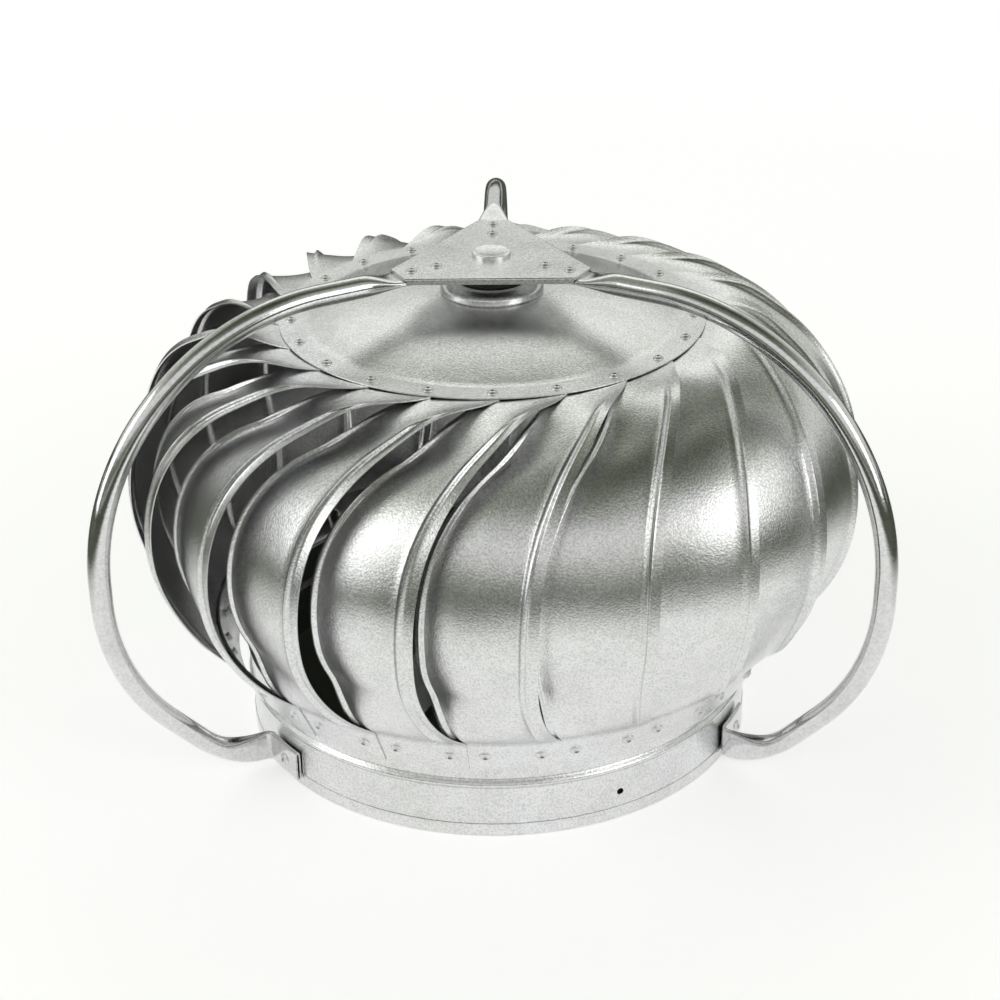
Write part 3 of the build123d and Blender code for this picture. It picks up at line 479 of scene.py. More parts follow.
# ------------------------------------------------------------------ vanes
@dataclass
class VaneSet:
    """The twisted vanes: each a sheet with a rolled edge, a bead and a lip.

    Lengths are in millimetres and turns in degrees. A place between the crown's
    edge and the crease over the tabs is a share from 0 to 1. A hump is its
    middle and half its width, a roll or bead its width and height.
    """

    crown_joint: float = 2.7
    sweep: float = 30.2
    sweep_end: float = 0.70
    sweep_return: float = 5.7
    louvre: float = 16.0
    open_over: float = 0.2
    lap_crown: float = 3.6
    lap_ring: float = 2.0
    gap: float = -0.8
    flare: float = 3.0
    flare_hump: tuple[float, float] = (0.11, 0.10)
    bead: tuple[float, float] = (5.6, 2.6)
    lip: float = 5.5
    roll: tuple[float, float] = (6.0, 2.5)
    forming: tuple[float, float, float] = (0.05, 0.16, 0.10)
    shoulder_r: float = 140.0
    shoulder_stretch: float = 1.12
    crown_gap: float = 0.1
    waist_r: float = 130.0
    power: float = 1.9
    inner_r: float = 109.5
    share_steps: int = 24
    lengths: list[float] = field(default_factory=list)

    def outline(self, u: float) -> tuple[float, float]:
        """Give a point of the vanes' outer outline.

        Args:
            u: -1 under the crown, 0 its edge, 1 equator, 2 crease, 3 foot.
        Returns:
            Radius and height, mm.
        """
        top = CROWN_Z - SHEET - self.crown_gap
        if u <= 0:
            return CROWN_R + (CROWN_R - self.inner_r) * u, top
        if u <= 1:
            flat = self.shoulder_r - CROWN_R
            fall = (EQUATOR_R - self.shoulder_r) * math.pi / 2 * self.shoulder_stretch
            along = u * (flat + fall)
            if along < flat:
                return CROWN_R + along, top
            turn = (along - flat) / fall * math.pi / 2
            return (self.shoulder_r + (EQUATOR_R - self.shoulder_r) * math.sin(turn),
                    EQUATOR_Z + (top - EQUATOR_Z) * math.cos(turn))
        if u <= 2:
            rise = EQUATOR_Z - TAB_TOP[1]
            share = (TAB_TOP[0] - self.waist_r) / (EQUATOR_R - self.waist_r)
            height = rise / (1 - share ** self.power) ** (1 / self.power)
            depth = (u - 1) * rise
            out = (1 - (depth / height) ** self.power) ** (1 / self.power)
            return self.waist_r + (EQUATOR_R - self.waist_r) * out, EQUATOR_Z - depth
        return (TAB_TOP[0] + (TAB_BOTTOM[0] - TAB_TOP[0]) * (u - 2),
                TAB_TOP[1] + (TAB_BOTTOM[1] - TAB_TOP[1]) * (u - 2))

    def normal(self, u: float) -> tuple[float, float]:
        """Give the outline's outward normal.

        Args:
            u: the place on the outline; the tabs below the crease are straight.
        Returns:
            Radial and vertical parts.
        """
        if u <= 0:
            return 0.0, 1.0
        before, after = (2.2, 2.8) if u >= 2.1 else (max(0.0, u - 0.02), u + 0.02)
        (r0, z0), (r1, z1) = self.outline(before), self.outline(after)
        length = math.hypot(r1 - r0, z1 - z0)
        return (z0 - z1) / length, (r1 - r0) / length

    def share(self, u: float) -> float:
        """Give how far along the outline a place lies.

        Args:
            u: the place.
        Returns:
            0 at the crown's edge, 1 at the crease.
        """
        steps = self.share_steps
        if not self.lengths:
            self.lengths.append(0.0)
            for i in range(2 * steps):
                piece = math.dist(self.outline(i / steps), self.outline((i + 1) / steps))
                self.lengths.append(self.lengths[-1] + piece)
        at = min(max(u, 0.0), 2.0) * steps
        i = min(int(at), 2 * steps - 1)
        here = self.lengths[i] + (self.lengths[i + 1] - self.lengths[i]) * (at - i)
        return here / self.lengths[-1]

    def stops(self, width: float) -> list[float]:
        """Choose where a section has points.

        Args:
            width: the section's width, mm.
        Returns:
            Distances from the rolled edge: roll, plain sheet, bead and lip.
        """
        roll, bead = self.roll[0], self.bead[0]
        bead_from = width - self.lip - bead
        stops = [roll * i / 10 for i in range(11)]
        stops += [roll + (bead_from - roll) * i / 12 for i in range(1, 12)]
        stops += [bead_from + bead * i / 8 for i in range(9)]
        return stops + [width - self.lip * share for share in (0.8, 0.6, 0.4, 0.2, 0.0)]

    def section(self, u: float, turn: float) -> list[Point]:
        """Give the closed section of a vane at one station.

        Args:
            u: the station.
            turn: degrees that this vane is turned.
        Returns:
            Points along the outer skin and back along the inner one, mm.
        """
        x = self.share(u)
        r, z = self.outline(u)
        n_r, n_z = self.normal(u)
        opening = smooth_step(min(x, 1 - x), 0.0, self.open_over)
        lap = self.lap_crown if x < 0.5 else self.lap_ring
        span = PITCH + lap - (self.gap + lap) * opening
        width = math.radians(span) * r
        swept = self.sweep * (1 - max(0.0, 1 - x / self.sweep_end) ** 3)
        back = self.sweep_return * (max(0.0, x - self.sweep_end) / (1 - self.sweep_end)) ** 2
        joint = self.crown_joint + back - swept + turn
        step = LAP_STEP + (self.louvre - LAP_STEP) * opening
        rise_from, rise_to, fall_over = self.forming
        formed = smooth_step(x, rise_from, rise_to) * smooth_step(1 - x, 0.0, fall_over)
        flared = bump(x - self.flare_hump[0], self.flare_hump[1])
        outer, inner = [], []
        for stop in self.stops(width):
            lift = formed * self.roll[1] * bump(stop - self.roll[0] / 2, self.roll[0] / 2)
            from_bead = width - stop - self.lip - self.bead[0] / 2
            lift += formed * self.bead[1] * bump(from_bead, self.bead[0] / 2)
            lift += self.flare * (stop / width) ** 3 * flared
            lift -= step * (1 - stop / width) * span / PITCH
            angle = joint - span * (1 - stop / width)
            outer.append(around(r + n_r * lift, angle, z + n_z * lift))
            inner.append(around(r + n_r * (lift - SHEET), angle, z + n_z * (lift - SHEET)))
        return outer + inner[::-1]

    def dress(self, finishes: Finishes) -> None:
        """Build and dress every vane.

        Args:
            finishes: all finishes.
        """
        under_crown, ball, tab = (-1.0, -0.5), range(64), range(7)
        stations = [*under_crown, *(i / 32 for i in ball), *(2 + i / 6 for i in tab)]
        vanes = [loft(f"vane_sheet_{i + 1:02d}", [self.section(u, PITCH * i) for u in stations])
                 for i in range(VANES)]
        for i, vane in enumerate(vanes):
            dress(vane, Body.ROTOR, "galvanised_sheet", finishes, f"vane_{i + 1:02d}")


# ------------------------------------------------------------------ turned pieces
@dataclass
class Crown:
    """The dished crown sheet that the vanes hang from."""

    rim_r: float = 108.2
    rim_flat: float = 2.0
    rim_rise: float = 0.05
    edge_flat: float = 0.2
    dome_top: tuple[float, float] = (32.0, 273.6)
    dome_bulge: float = 2.9
    dome_steps: int = 24
    bore_r: float = 22.51

    def profile(self) -> Profile:
        """Draw the crown's closed outline.

        Returns:
            (radius, height) points, mm.
        """
        top = [(CROWN_R, CROWN_Z), (CROWN_R - self.edge_flat, CROWN_Z)]
        top += [(self.rim_r + self.rim_flat, CROWN_Z), (self.rim_r, CROWN_Z + self.rim_rise)]
        chord = Vector((self.dome_top[0] - self.rim_r, self.dome_top[1] - CROWN_Z))
        side = Vector((chord.y, -chord.x)).normalized()
        for i in range(1, self.dome_steps + 1):
            t = i / self.dome_steps
            bulge = side * self.dome_bulge * 4 * t * (1 - t)
            point = Vector((self.rim_r, CROWN_Z)) + chord * t + bulge
            top.append((point.x, point.y))
        top.append((self.bore_r, self.dome_top[1]))
        return top + [(r, z - SHEET) for r, z in reversed(top)]

    def dress(self, finishes: Finishes) -> None:
        """Build and dress the crown.

        Args:
            finishes: all finishes.
        """
        crown = lathe("crown_sheet", self.profile(), 240)
        dress(crown, Body.ROTOR, "galvanised_sheet", finishes, "crown")


@dataclass
class Collar:
    """The throat's collar: a sheet ring with a hem, a bead, a curled top and screw holes."""

    outer_r: float = 153.4
    hem_r: float = 154.0
    hem_z: float = 8.0
    bead_z: float = 35.0
    bead_half: float = 3.9
    bead_out: float = 2.4
    bead_steps: int = 16
    curl_r: float = 1.6
    curl_z: float = 56.4
    neck_z: float = 54.9
    hole_turns: tuple[float, float, float] = (58.0, 178.0, 298.0)
    hole_z: float = 17.5
    hole_r: float = 2.1

    def profile(self) -> Profile:
        """Draw the collar's closed outline with hem, bead and curled top.

        Returns:
            (radius, height) points, mm.
        """
        low, width = self.bead_z - self.bead_half, 2 * self.bead_half
        heights = [low + width * i / self.bead_steps for i in range(self.bead_steps + 1)]
        bead = [(self.bead_out * bump(z - self.bead_z, self.bead_half), z) for z in heights]
        inner = [(THROAT_R, 0.0)] + [(THROAT_R + out, z) for out, z in bead]
        curl = arc((THROAT_R + self.curl_r, self.curl_z), self.curl_r, 180, -90, 14)
        outer = [(self.outer_r, self.neck_z)]
        outer += [(self.outer_r + out, z) for out, z in reversed(bead)]
        hem = [(self.outer_r, self.hem_z + 0.4), (self.outer_r + 0.15, self.hem_z)]
        hem += [(self.hem_r - 0.1, self.hem_z - 0.1), (self.hem_r, self.hem_z - 0.4)]
        hem += [(self.hem_r, 0.5), (self.hem_r - 0.3, 0.0)]
        return inner + curl + outer + hem

    def cut_holes(self, collar: bpy.types.Object) -> bpy.types.Object:
        """Cut the three screw holes through the collar.

        Args:
            collar: the turned collar.
        Returns:
            A new object with the holes.
        """
        bm = bmesh.new()
        for turn in self.hole_turns:
            angle = math.radians(turn)
            place = Matrix.Translation(Vector((math.cos(angle), math.sin(angle), 0)) * THROAT_R * MM
                                       + Vector((0, 0, self.hole_z * MM)))
            spin = Matrix.Rotation(angle, 4, "Z") @ Matrix.Rotation(math.pi / 2, 4, "Y")
            bmesh.ops.create_cone(bm, cap_ends=True, segments=24, radius1=self.hole_r * MM,
                                  radius2=self.hole_r * MM, depth=8 * MM, matrix=place @ spin)
        mesh = bpy.data.meshes.new("hole_cutter")
        bm.to_mesh(mesh)
        bm.free()
        cutter = add_object("hole_cutter", mesh)
        modifier = collar.modifiers.new("holes", "BOOLEAN")
        modifier.operation = "DIFFERENCE"
        modifier.solver = "EXACT"
        modifier.object = cutter
        done = bake(collar, "collar_sheet")
        bpy.data.objects.remove(cutter)
        done.data.set_sharp_from_angle(angle=math.radians(35))
        return done

    def dress(self, finishes: Finishes) -> None:
        """Build and dress the collar.

        Args:
            finishes: all finishes.
        """
        collar = self.cut_holes(lathe("collar_blank", self.profile(), 240))
        dress(collar, Body.FIXED, "galvanised_sheet", finishes, "collar")


@dataclass
class Hub:
    """The turned bearing housing: a barrel, a shoulder on the crown and a recess for the cap.

    Heights of the ring are below the crown's seat, of the crest, mouth and lip below the
    top; flange and crest lie back from the widest point.
    """

    race_bore_r: float = 18.51
    barrel_r: float = 22.5
    ring_r: float = 23.6
    ring_top: float = 0.75
    ring_flank: float = 1.3
    ring_foot: float = 1.9
    seat_z: float = 273.62
    flange_back: float = 0.8
    edge_r: float = 1.2
    shoulder_r: float = 4.2
    shoulder_z: float = 1.7
    crest: tuple[tuple[float, float], ...] = ((4.6, 0.6), (6.2, 0.1), (7.2, 0.0))
    mouth_r: float = 20.6
    mouth_bevel: float = 0.5
    cap_bore_r: float = 19.95
    lip_r: float = 16.8
    lip_top: float = 1.3
    lip_foot: float = 2.09

    def profile(self) -> Profile:
        """Draw the housing's closed outline between its node's lowest and highest points.

        Returns:
            (radius, height) points, mm.
        """
        low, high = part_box("bearing_housing")
        seat, foot, top, out = self.seat_z, low.z / MM, high.z / MM, high.x / MM
        points = [(self.race_bore_r, foot), (self.barrel_r, foot)]
        points += [(self.barrel_r, seat - self.ring_foot), (self.ring_r, seat - self.ring_flank)]
        points += [(self.ring_r, seat - self.ring_top), (self.barrel_r, seat - self.ring_top)]
        points += [(self.barrel_r, seat), (out - self.flange_back, seat)]
        points += arc((out - self.edge_r, seat + self.edge_r), self.edge_r, -50, 40, 5)
        centre = (out - self.shoulder_r, seat + self.shoulder_z)
        points += arc(centre, self.shoulder_r, 25, 68, 7)
        points += [(out - back, top - down) for back, down in self.crest]
        points += [(self.mouth_r, top), (self.cap_bore_r, top - self.mouth_bevel)]
        points += [(self.cap_bore_r, top - self.lip_top), (self.lip_r, top - self.lip_top)]
        return points + [(self.lip_r, top - self.lip_foot), (self.race_bore_r, top - self.lip_foot)]

    def dress(self, finishes: Finishes) -> None:
        """Build and dress the housing.

        Args:
            finishes: all finishes.
        """
        hub = lathe("hub_shoulder", self.profile(), 120)
        dress(hub, Body.ROTOR, "housing_aluminium", finishes, "bearing_housing")


@dataclass
class Pin:
    """The shaft: a long pin with a flat round head on the plate."""

    shank_r: float = 6.0
    tip_bevel: float = 0.8
    head_r: float = 11.3
    head_round: float = 1.0
    dish_rim: tuple[float, float] = (9.0, 8.6)
    dish_depth: float = 0.15
    core_r: float = 0.02

    def profile(self) -> Profile:
        """Draw the pin's closed outline between its node's ends.

        Returns:
            (radius, height) points, mm.
        """
        seat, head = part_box("brace_plate")[1].z / MM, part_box("shaft")[1].z / MM
        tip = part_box("shaft")[0].z / MM
        dish = head - self.dish_depth
        points = [(self.core_r, tip), (self.shank_r - self.tip_bevel, tip)]
        points += [(self.shank_r, tip + self.tip_bevel), (self.shank_r, seat)]
        points += [(self.head_r, seat), (self.head_r, head - self.head_round)]
        centre = (self.head_r - self.head_round, head - self.head_round)
        points += arc(centre, self.head_round, 0, 90, 5)
        return points + [(self.dish_rim[0], head), (self.dish_rim[1], dish), (self.core_r, dish)]

    def dress(self, finishes: Finishes) -> None:
        """Build and dress the pin.

        Args:
            finishes: all finishes.
        """
        pin = lathe("pin", self.profile(), 96)
        dress(pin, Body.FIXED, "plated_steel", finishes, "shaft")


# ------------------------------------------------------------------ braces
@dataclass
class Braces:
    """Bent tubes, pressed flat at both ends, with open slits at their ends."""

    tube_r: float = 6.35
    wall: float = 1.1
    flat: tuple[float, float] = (19.0, 3.4)
    top_z: float = 291.4
    foot_z: float = 13.5
    start_r: float = 29.0
    foot_r: float = 155.8
    foot_turn_r: float = 4.3
    foot_bend: float = 6.65
    foot_length: float = 27.0
    mid_run: float = 10.5
    bend_mid: float = 130.0
    lean: float = math.radians(42.0)
    low_run: float = 27.0
    bend_low: float = 52.5
    press: tuple[float, float, float] = (32.0, 22.0, 34.0)
    steps: tuple[int, int, int] = (120, 6, 12)
    round_steps: int = 40

    def legs(self) -> list[tuple[float, float]]:
        """List the centre line's runs and bends.

        Returns:
            (length, bend radius or 0) pairs, mm.
        """
        low_turn = math.pi / 2 - self.lean
        centre = self.foot_r + self.foot_turn_r
        reach = math.sqrt(centre ** 2 - self.foot_turn_r ** 2) + self.bend_low * math.sin(low_turn)
        reach += self.low_run * math.sin(self.lean) + self.bend_mid * (1 - math.cos(self.lean))
        drop = self.mid_run + self.bend_mid * math.sin(self.lean)
        drop += self.low_run * math.cos(self.lean) + self.bend_low * (1 - math.cos(low_turn))
        top_bend = self.top_z - self.foot_z - drop
        return [(reach - top_bend - self.start_r, 0.0), (top_bend * math.pi / 2, top_bend),
                (self.mid_run, 0.0), (self.bend_mid * self.lean, self.bend_mid),
                (self.low_run, 0.0), (self.bend_low * low_turn, self.bend_low)]

    def place(self, distance: float) -> tuple[Vector, Vector, Vector]:
        """Find a point and section axes on the centre line.

        Args:
            distance: mm from the plate end.
        Returns:
            Point, side and across vectors.
        """
        x, z, heading, left = self.start_r, self.top_z, 0.0, distance
        for length, radius in self.legs():
            part = min(left, length)
            if radius:
                turn = part / radius
                x += radius * (math.sin(heading) - math.sin(heading - turn))
                z += radius * (math.cos(heading - turn) - math.cos(heading))
                heading -= turn
            else:
                x += part * math.cos(heading)
                z += part * math.sin(heading)
            left -= part
            if left <= 0:
                return (Vector((x, 0, z)), Vector((0, 1, 0)),
                        Vector((-math.sin(heading), 0, math.cos(heading))))
        angle = self.foot_angle()
        bend = math.pi / 2 - angle
        down = Vector((0, 0, -1))
        beyond = left - bend * self.foot_turn_r
        if beyond > 0:
            angle += beyond / self.foot_r
            side = Vector((math.cos(angle), math.sin(angle), 0))
            return side * self.foot_r + Vector((0, 0, self.foot_z)), side, down
        turn = left / self.foot_turn_r
        side = Vector((math.sin(turn), math.cos(turn), 0))
        return Vector((x, self.foot_turn_r, self.foot_z)) - side * self.foot_turn_r, side, down

    def foot_angle(self) -> float:
        """Give where the flat foot starts to follow the collar.

        Returns:
            Radians from the brace's own plane.
        """
        return math.asin(self.foot_turn_r / (self.foot_r + self.foot_turn_r))

    def section(self, distance: float, wall: float) -> list[Vector]:
        """Draw the tube's section.

        Args:
            distance: mm from the plate end.
            wall: how far inside the outer face.
        Returns:
            The points of the loop, mm.
        """
        length = sum(leg for leg, _ in self.legs())
        top = 1 - smooth_step(distance, self.press[0], self.press[0] + self.press[1])
        foot = smooth_step(distance, length - self.press[2], length)
        wide, thin = self.flat[0] / 2 - self.tube_r, self.flat[1] / 2 - self.tube_r
        half_w = self.tube_r + wide * top + thin * foot - wall
        half_h = self.tube_r + thin * top + wide * foot - wall
        power = 1 / (1 + (top + foot))
        point, side, across = self.place(distance)
        loop = []
        for i in range(self.round_steps):
            angle = 2 * math.pi * i / self.round_steps
            c, s = math.cos(angle), math.sin(angle)
            out = math.copysign(abs(c) ** power, c) * half_w
            up = math.copysign(abs(s) ** power, s) * half_h
            loop.append(point + side * out + across * up)
        return loop

    def dress(self, finishes: Finishes) -> None:
        """Build and dress the three braces.

        Args:
            finishes: all finishes.
        """
        start, stops = 0.0, [0.0]
        runs = (sum(leg for leg, _ in self.legs()), self.foot_bend, self.foot_length)
        for run, steps in zip(runs, self.steps):
            stops += [start + run * i / steps for i in range(1, steps + 1)]
            start += run
        loops = [self.section(stop, 0.0) for stop in stops]
        loops += [self.section(stop, self.wall) for stop in reversed(stops)]
        for name, turn in BRACE_TURNS.items():
            spin = Matrix.Rotation(math.radians(turn), 3, "Z")
            turned = [[tuple(spin @ point) for point in loop] for loop in loops]
            piece = loft(f"brace_tube_{name}", turned, closed=True)
            dress(piece, Body.FIXED, "galvanised_tube", finishes, f"brace_{name}")


# ------------------------------------------------------------------ rivets
@dataclass(frozen=True)
class RivetSizes:
    """Sizes of one kind of blind rivet, mm: all radii but the head's height and the grip."""

    head: float
    grip: float
    tail: float = 2.6
    height: float = 1.35
    hollow: float = 1.45
    shank: float = 1.6

    def inputs(self) -> dict[str, float]:
        """Name the sizes as the node group's inputs do.

        Returns:
            Metres by input name.
        """
        sizes = {"Head Radius": self.head, "Head Height": self.height,
                 "Hollow Radius": self.hollow, "Grip": self.grip,
                 "Shank Radius": self.shank, "Tail Radius": self.tail}
        return {label: size * MM for label, size in sizes.items()}


class RivetField:
    """A Geometry Nodes group that puts one rivet on each point, its head outward."""

    def __init__(self, finishes: Finishes) -> None:
        """Build the node group.

        Args:
            finishes: all finishes.
        """
        self.group = bpy.data.node_groups.new("rivet field", "GeometryNodeTree")
        face = self.group.interface
        face.new_socket("Geometry", in_out="INPUT", socket_type="NodeSocketGeometry")
        face.new_socket("Geometry", in_out="OUTPUT", socket_type="NodeSocketGeometry")
        self.sockets = {}
        for label, value in RivetSizes(head=3.5, grip=3.0).inputs().items():
            socket = face.new_socket(label, in_out="INPUT", socket_type="NodeSocketFloat")
            socket.default_value = value
            self.sockets[label] = socket.identifier
        self.nodes = Nodes(self.group)
        self.wire(finishes)

    def move(self, shape: bpy.types.NodeSocket,
             **place: bpy.types.NodeSocket) -> bpy.types.NodeSocket:
        """Put one part of the rivet in place.

        Args:
            shape: its mesh at the origin.
            place: the Scale or Translation that it needs.
        Returns:
            The part in its place.
        """
        moved = self.nodes.add("GeometryNodeTransform", Geometry=shape, **place)
        return moved.outputs["Geometry"]

    def join(self, parts: list[bpy.types.NodeSocket]) -> bpy.types.NodeSocket:
        """Join parts.

        Args:
            parts: the parts.
        Returns:
            All of them as one.
        """
        node = self.nodes.add("GeometryNodeJoinGeometry")
        for part in parts:
            self.nodes.feed(node.inputs["Geometry"], part)
        return node.outputs["Geometry"]

    def wire(self, finishes: Finishes) -> None:
        """Shape the head, its rim, the mandrel as a dark disc of painted hollow shade, shank and
        tail; spread them over the points.

        Args:
            finishes: all finishes.
        """
        nodes = self.nodes
        given = nodes.add("NodeGroupInput").outputs
        radius, height, hollow, grip = (given[label] for label in (
            "Head Radius", "Head Height", "Hollow Radius", "Grip"))
        dome = nodes.add("GeometryNodeMeshUVSphere", Segments=16, Rings=8, Radius=1.0)
        stretch = nodes.add("ShaderNodeCombineXYZ", radius, radius, height).outputs["Vector"]
        lift = nodes.add("ShaderNodeCombineXYZ", Z=height).outputs["Vector"]
        circle = nodes.add("GeometryNodeCurvePrimitiveCircle", mode="RADIUS", Resolution=14,
                           Radius=hollow)
        rim_wire = nodes.add("GeometryNodeCurvePrimitiveCircle", mode="RADIUS", Resolution=6,
                             Radius=0.35 * MM)
        rim = nodes.add("GeometryNodeCurveToMesh", Curve=circle.outputs["Curve"],
                        Profile_Curve=rim_wire.outputs["Curve"])
        # The mandrel: a flat dark disc on the head's top, painted shade where the rivet's hollow
        # lies.
        mandrel_hollow_shade = nodes.add("GeometryNodeMeshCylinder", Vertices=14, Depth=0.3 * MM, Radius=hollow)
        bright = [self.move(dome.outputs["Mesh"], Scale=stretch),
                  self.move(rim.outputs["Mesh"], Translation=lift)]
        dark = [self.move(mandrel_hollow_shade.outputs["Mesh"], Translation=lift)]
        for label, depth, middle in (("Shank Radius", grip, -0.5), ("Tail Radius", 0.9 * MM, -1.0)):
            solid = nodes.add("GeometryNodeMeshCylinder", Vertices=14, Depth=depth,
                              Radius=given[label])
            drop = nodes.add("ShaderNodeCombineXYZ", Z=nodes.math("MULTIPLY", grip, middle))
            bright.append(self.move(solid.outputs["Mesh"], Translation=drop.outputs["Vector"]))
        outward = nodes.add("GeometryNodeInputNamedAttribute", data_type="FLOAT_VECTOR",
                            Name="outward")
        turn = nodes.add("FunctionNodeAlignRotationToVector", axis="Z",
                         Vector=outward.outputs["Attribute"]).outputs["Rotation"]
        shown = []
        for parts, material in ((bright, finishes.rivet), (dark, finishes.mandrel_hollow_shade)):
            spread = nodes.add("GeometryNodeInstanceOnPoints", Points=given["Geometry"],
                               Instance=self.join(parts), Rotation=turn)
            real = nodes.add("GeometryNodeRealizeInstances", Geometry=spread.outputs["Instances"])
            coated = nodes.add("GeometryNodeSetMaterial", Geometry=real.outputs["Geometry"],
                               Material=material)
            shown.append(coated.outputs["Geometry"])
        nodes.add("NodeGroupOutput", Geometry=self.join(shown))

    def scatter(self, name: str, places: list[tuple[Vector, Vector]],
                sizes: RivetSizes) -> bpy.types.Object:
        """Make one piece of rivets.

        Args:
            name: the piece's name.
            places: (point in mm, outward direction) pairs.
            sizes: the sizes of these rivets.
        Returns:
            The plain mesh object.
        """
        mesh = bpy.data.meshes.new(name)
        mesh.from_pydata([point * MM for point, _ in places], [], [])
        marks = mesh.attributes.new("outward", "FLOAT_VECTOR", "POINT")
        for mark, (_, outward) in zip(marks.data, places):
            mark.vector = outward
        seed = add_object(name + "_points", mesh)
        modifier = seed.modifiers.new("rivets", "NODES")
        modifier.node_group = self.group
        for label, value in sizes.inputs().items():
            modifier[self.sockets[label]] = value
        done = bake(seed, name)
        done.data.shade_smooth()
        done.data.set_sharp_from_angle(angle=math.radians(40))
        return done


@dataclass
class Rivets:
    """The blind rivets of the crown, the ring, the plate and the brace feet."""

    vanes: VaneSet
    braces: Braces
    crown_r: float = 116.7
    crown_back: float = 1.67
    ring_z: float = 63.9
    ring_back: float = 3.3
    plate_r: tuple[float, float] = (35.5, 51.5)
    foot_run: float = 15.0
    crown: RivetSizes = RivetSizes(head=3.1, grip=3.0)
    ring: RivetSizes = RivetSizes(head=3.6, grip=3.5)
    plate: RivetSizes = RivetSizes(head=3.3, grip=5.6)
    foot: RivetSizes = RivetSizes(head=4.0, grip=4.3, tail=1.6)

    def rotor_places(self) -> dict[str, list[tuple[Vector, Vector]]]:
        """Work out where the rivets of every vane sit.

        Returns:
            (point, outward) pairs for the crown's and the ring's rivets.
        """
        lean = math.atan((TAB_TOP[0] - TAB_BOTTOM[0]) / (TAB_TOP[1] - TAB_BOTTOM[1]))
        tab_r = TAB_BOTTOM[0] + math.tan(lean) * (self.ring_z - TAB_BOTTOM[1])
        swept = self.vanes.sweep - self.vanes.sweep_return
        crown, ring = [], []
        for i in range(VANES):
            joint = self.vanes.crown_joint + PITCH * i
            spot = Vector(around(self.crown_r, joint - self.crown_back, CROWN_Z))
            crown.append((spot, Vector((0, 0, 1))))
            for back in (self.ring_back, PITCH - self.ring_back):
                turn = joint - swept - back
                depth = LAP_STEP * back / PITCH
                out = Vector(around(math.cos(lean), turn, -math.sin(lean)))
                spot = around(tab_r - depth * math.cos(lean), turn,
                              self.ring_z + depth * math.sin(lean))
                ring.append((Vector(spot), out))
        return {"crown": crown, "ring": ring}

    def fixed_places(self) -> dict[str, list[tuple[Vector, Vector]]]:
        """Work out where the rivets of every brace sit.

        Returns:
            (point, outward) pairs for the plate's and the feet's rivets.
        """
        plate_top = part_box("brace_plate")[1].z / MM
        face_r = self.braces.foot_r + self.braces.flat[1] / 2
        plate, foot = [], []
        for degrees in BRACE_TURNS.values():
            turn = math.radians(degrees)
            for radius in self.plate_r:
                spot = Vector((radius * math.cos(turn), radius * math.sin(turn), plate_top))
                plate.append((spot, Vector((0, 0, 1))))
            turn += self.braces.foot_angle() + self.foot_run / self.braces.foot_r
            out = Vector((math.cos(turn), math.sin(turn), 0))
            foot.append((out * face_r + Vector((0, 0, self.braces.foot_z)), out))
        return {"plate": plate, "foot": foot}

    def dress(self, finishes: Finishes) -> None:
        """Build and dress every group of rivets.

        Args:
            finishes: all finishes.
        """
        rivets = RivetField(finishes)
        for body, groups in ((Body.ROTOR, self.rotor_places()), (Body.FIXED, self.fixed_places())):
            for kind, places in groups.items():
                piece = rivets.scatter(f"{kind}_heads", places, getattr(self, kind))
                dress(piece, body, "rivet_aluminium", finishes, f"{kind}_rivets")


# ------------------------------------------------------------------ studio
@dataclass(frozen=True)
class SoftBox:
    """A large area light, in metres and watts."""

    name: str
    place: Point
    size: tuple[float, float]
    power: float
    target: Point = (0.0, 0.0, 0.15)

    def build(self) -> None:
        """Add the light."""
        data = bpy.data.lights.new(self.name, "AREA")
        data.shape = "RECTANGLE"
        data.size, data.size_y = self.size
        data.energy = self.power
        light = add_object(self.name, data)
        light.location = self.place
        aim = Vector(self.target) - Vector(self.place)
        light.rotation_euler = aim.to_track_quat("-Z", "Y").to_euler()


@dataclass(frozen=True)
class Sky:
    """The surroundings: white to the camera, a soft studio with a drifting edge to metal."""

    cloud_scale: float = 3.0
    cloud_share: float = 0.36
    heights: tuple[float, float] = (-0.82, 1.18)
    front: tuple[float, float] = (-0.10, -0.70)

    def build(self) -> None:
        """Make the world."""
        world = bpy.data.worlds.new("studio")
        bpy.context.scene.world = world
        nodes = Nodes.of(world)
        where = nodes.add("ShaderNodeTexCoord").outputs["Generated"]
        split = nodes.add("ShaderNodeSeparateXYZ", Vector=where).outputs
        cloud = nodes.add("ShaderNodeTexNoise", Vector=where, Scale=self.cloud_scale, Detail=2.0)
        drift = nodes.math("MULTIPLY_ADD", cloud.outputs["Fac"], self.cloud_share, split["Z"])
        height = nodes.add("ShaderNodeMapRange", Value=drift, From_Min=self.heights[0],
                           From_Max=self.heights[1]).outputs["Result"]
        side = nodes.add("ShaderNodeMapRange", Value=split["Y"], From_Min=self.front[0],
                         From_Max=self.front[1]).outputs["Result"]
        colour = nodes.mix(side, nodes.ramp(height, FAR_SKY), nodes.ramp(height, NEAR_SKY))
        studio = nodes.add("ShaderNodeBackground", Color=colour, Strength=1.0)
        white = nodes.add("ShaderNodeBackground", Color=(1, 1, 1, 1), Strength=1.0)
        shown = nodes.add("ShaderNodeMixShader",
                          nodes.add("ShaderNodeLightPath").outputs["Is Camera Ray"],
                          studio.outputs["Background"], white.outputs["Background"])
        nodes.add("ShaderNodeOutputWorld", Surface=shown.outputs["Shader"])


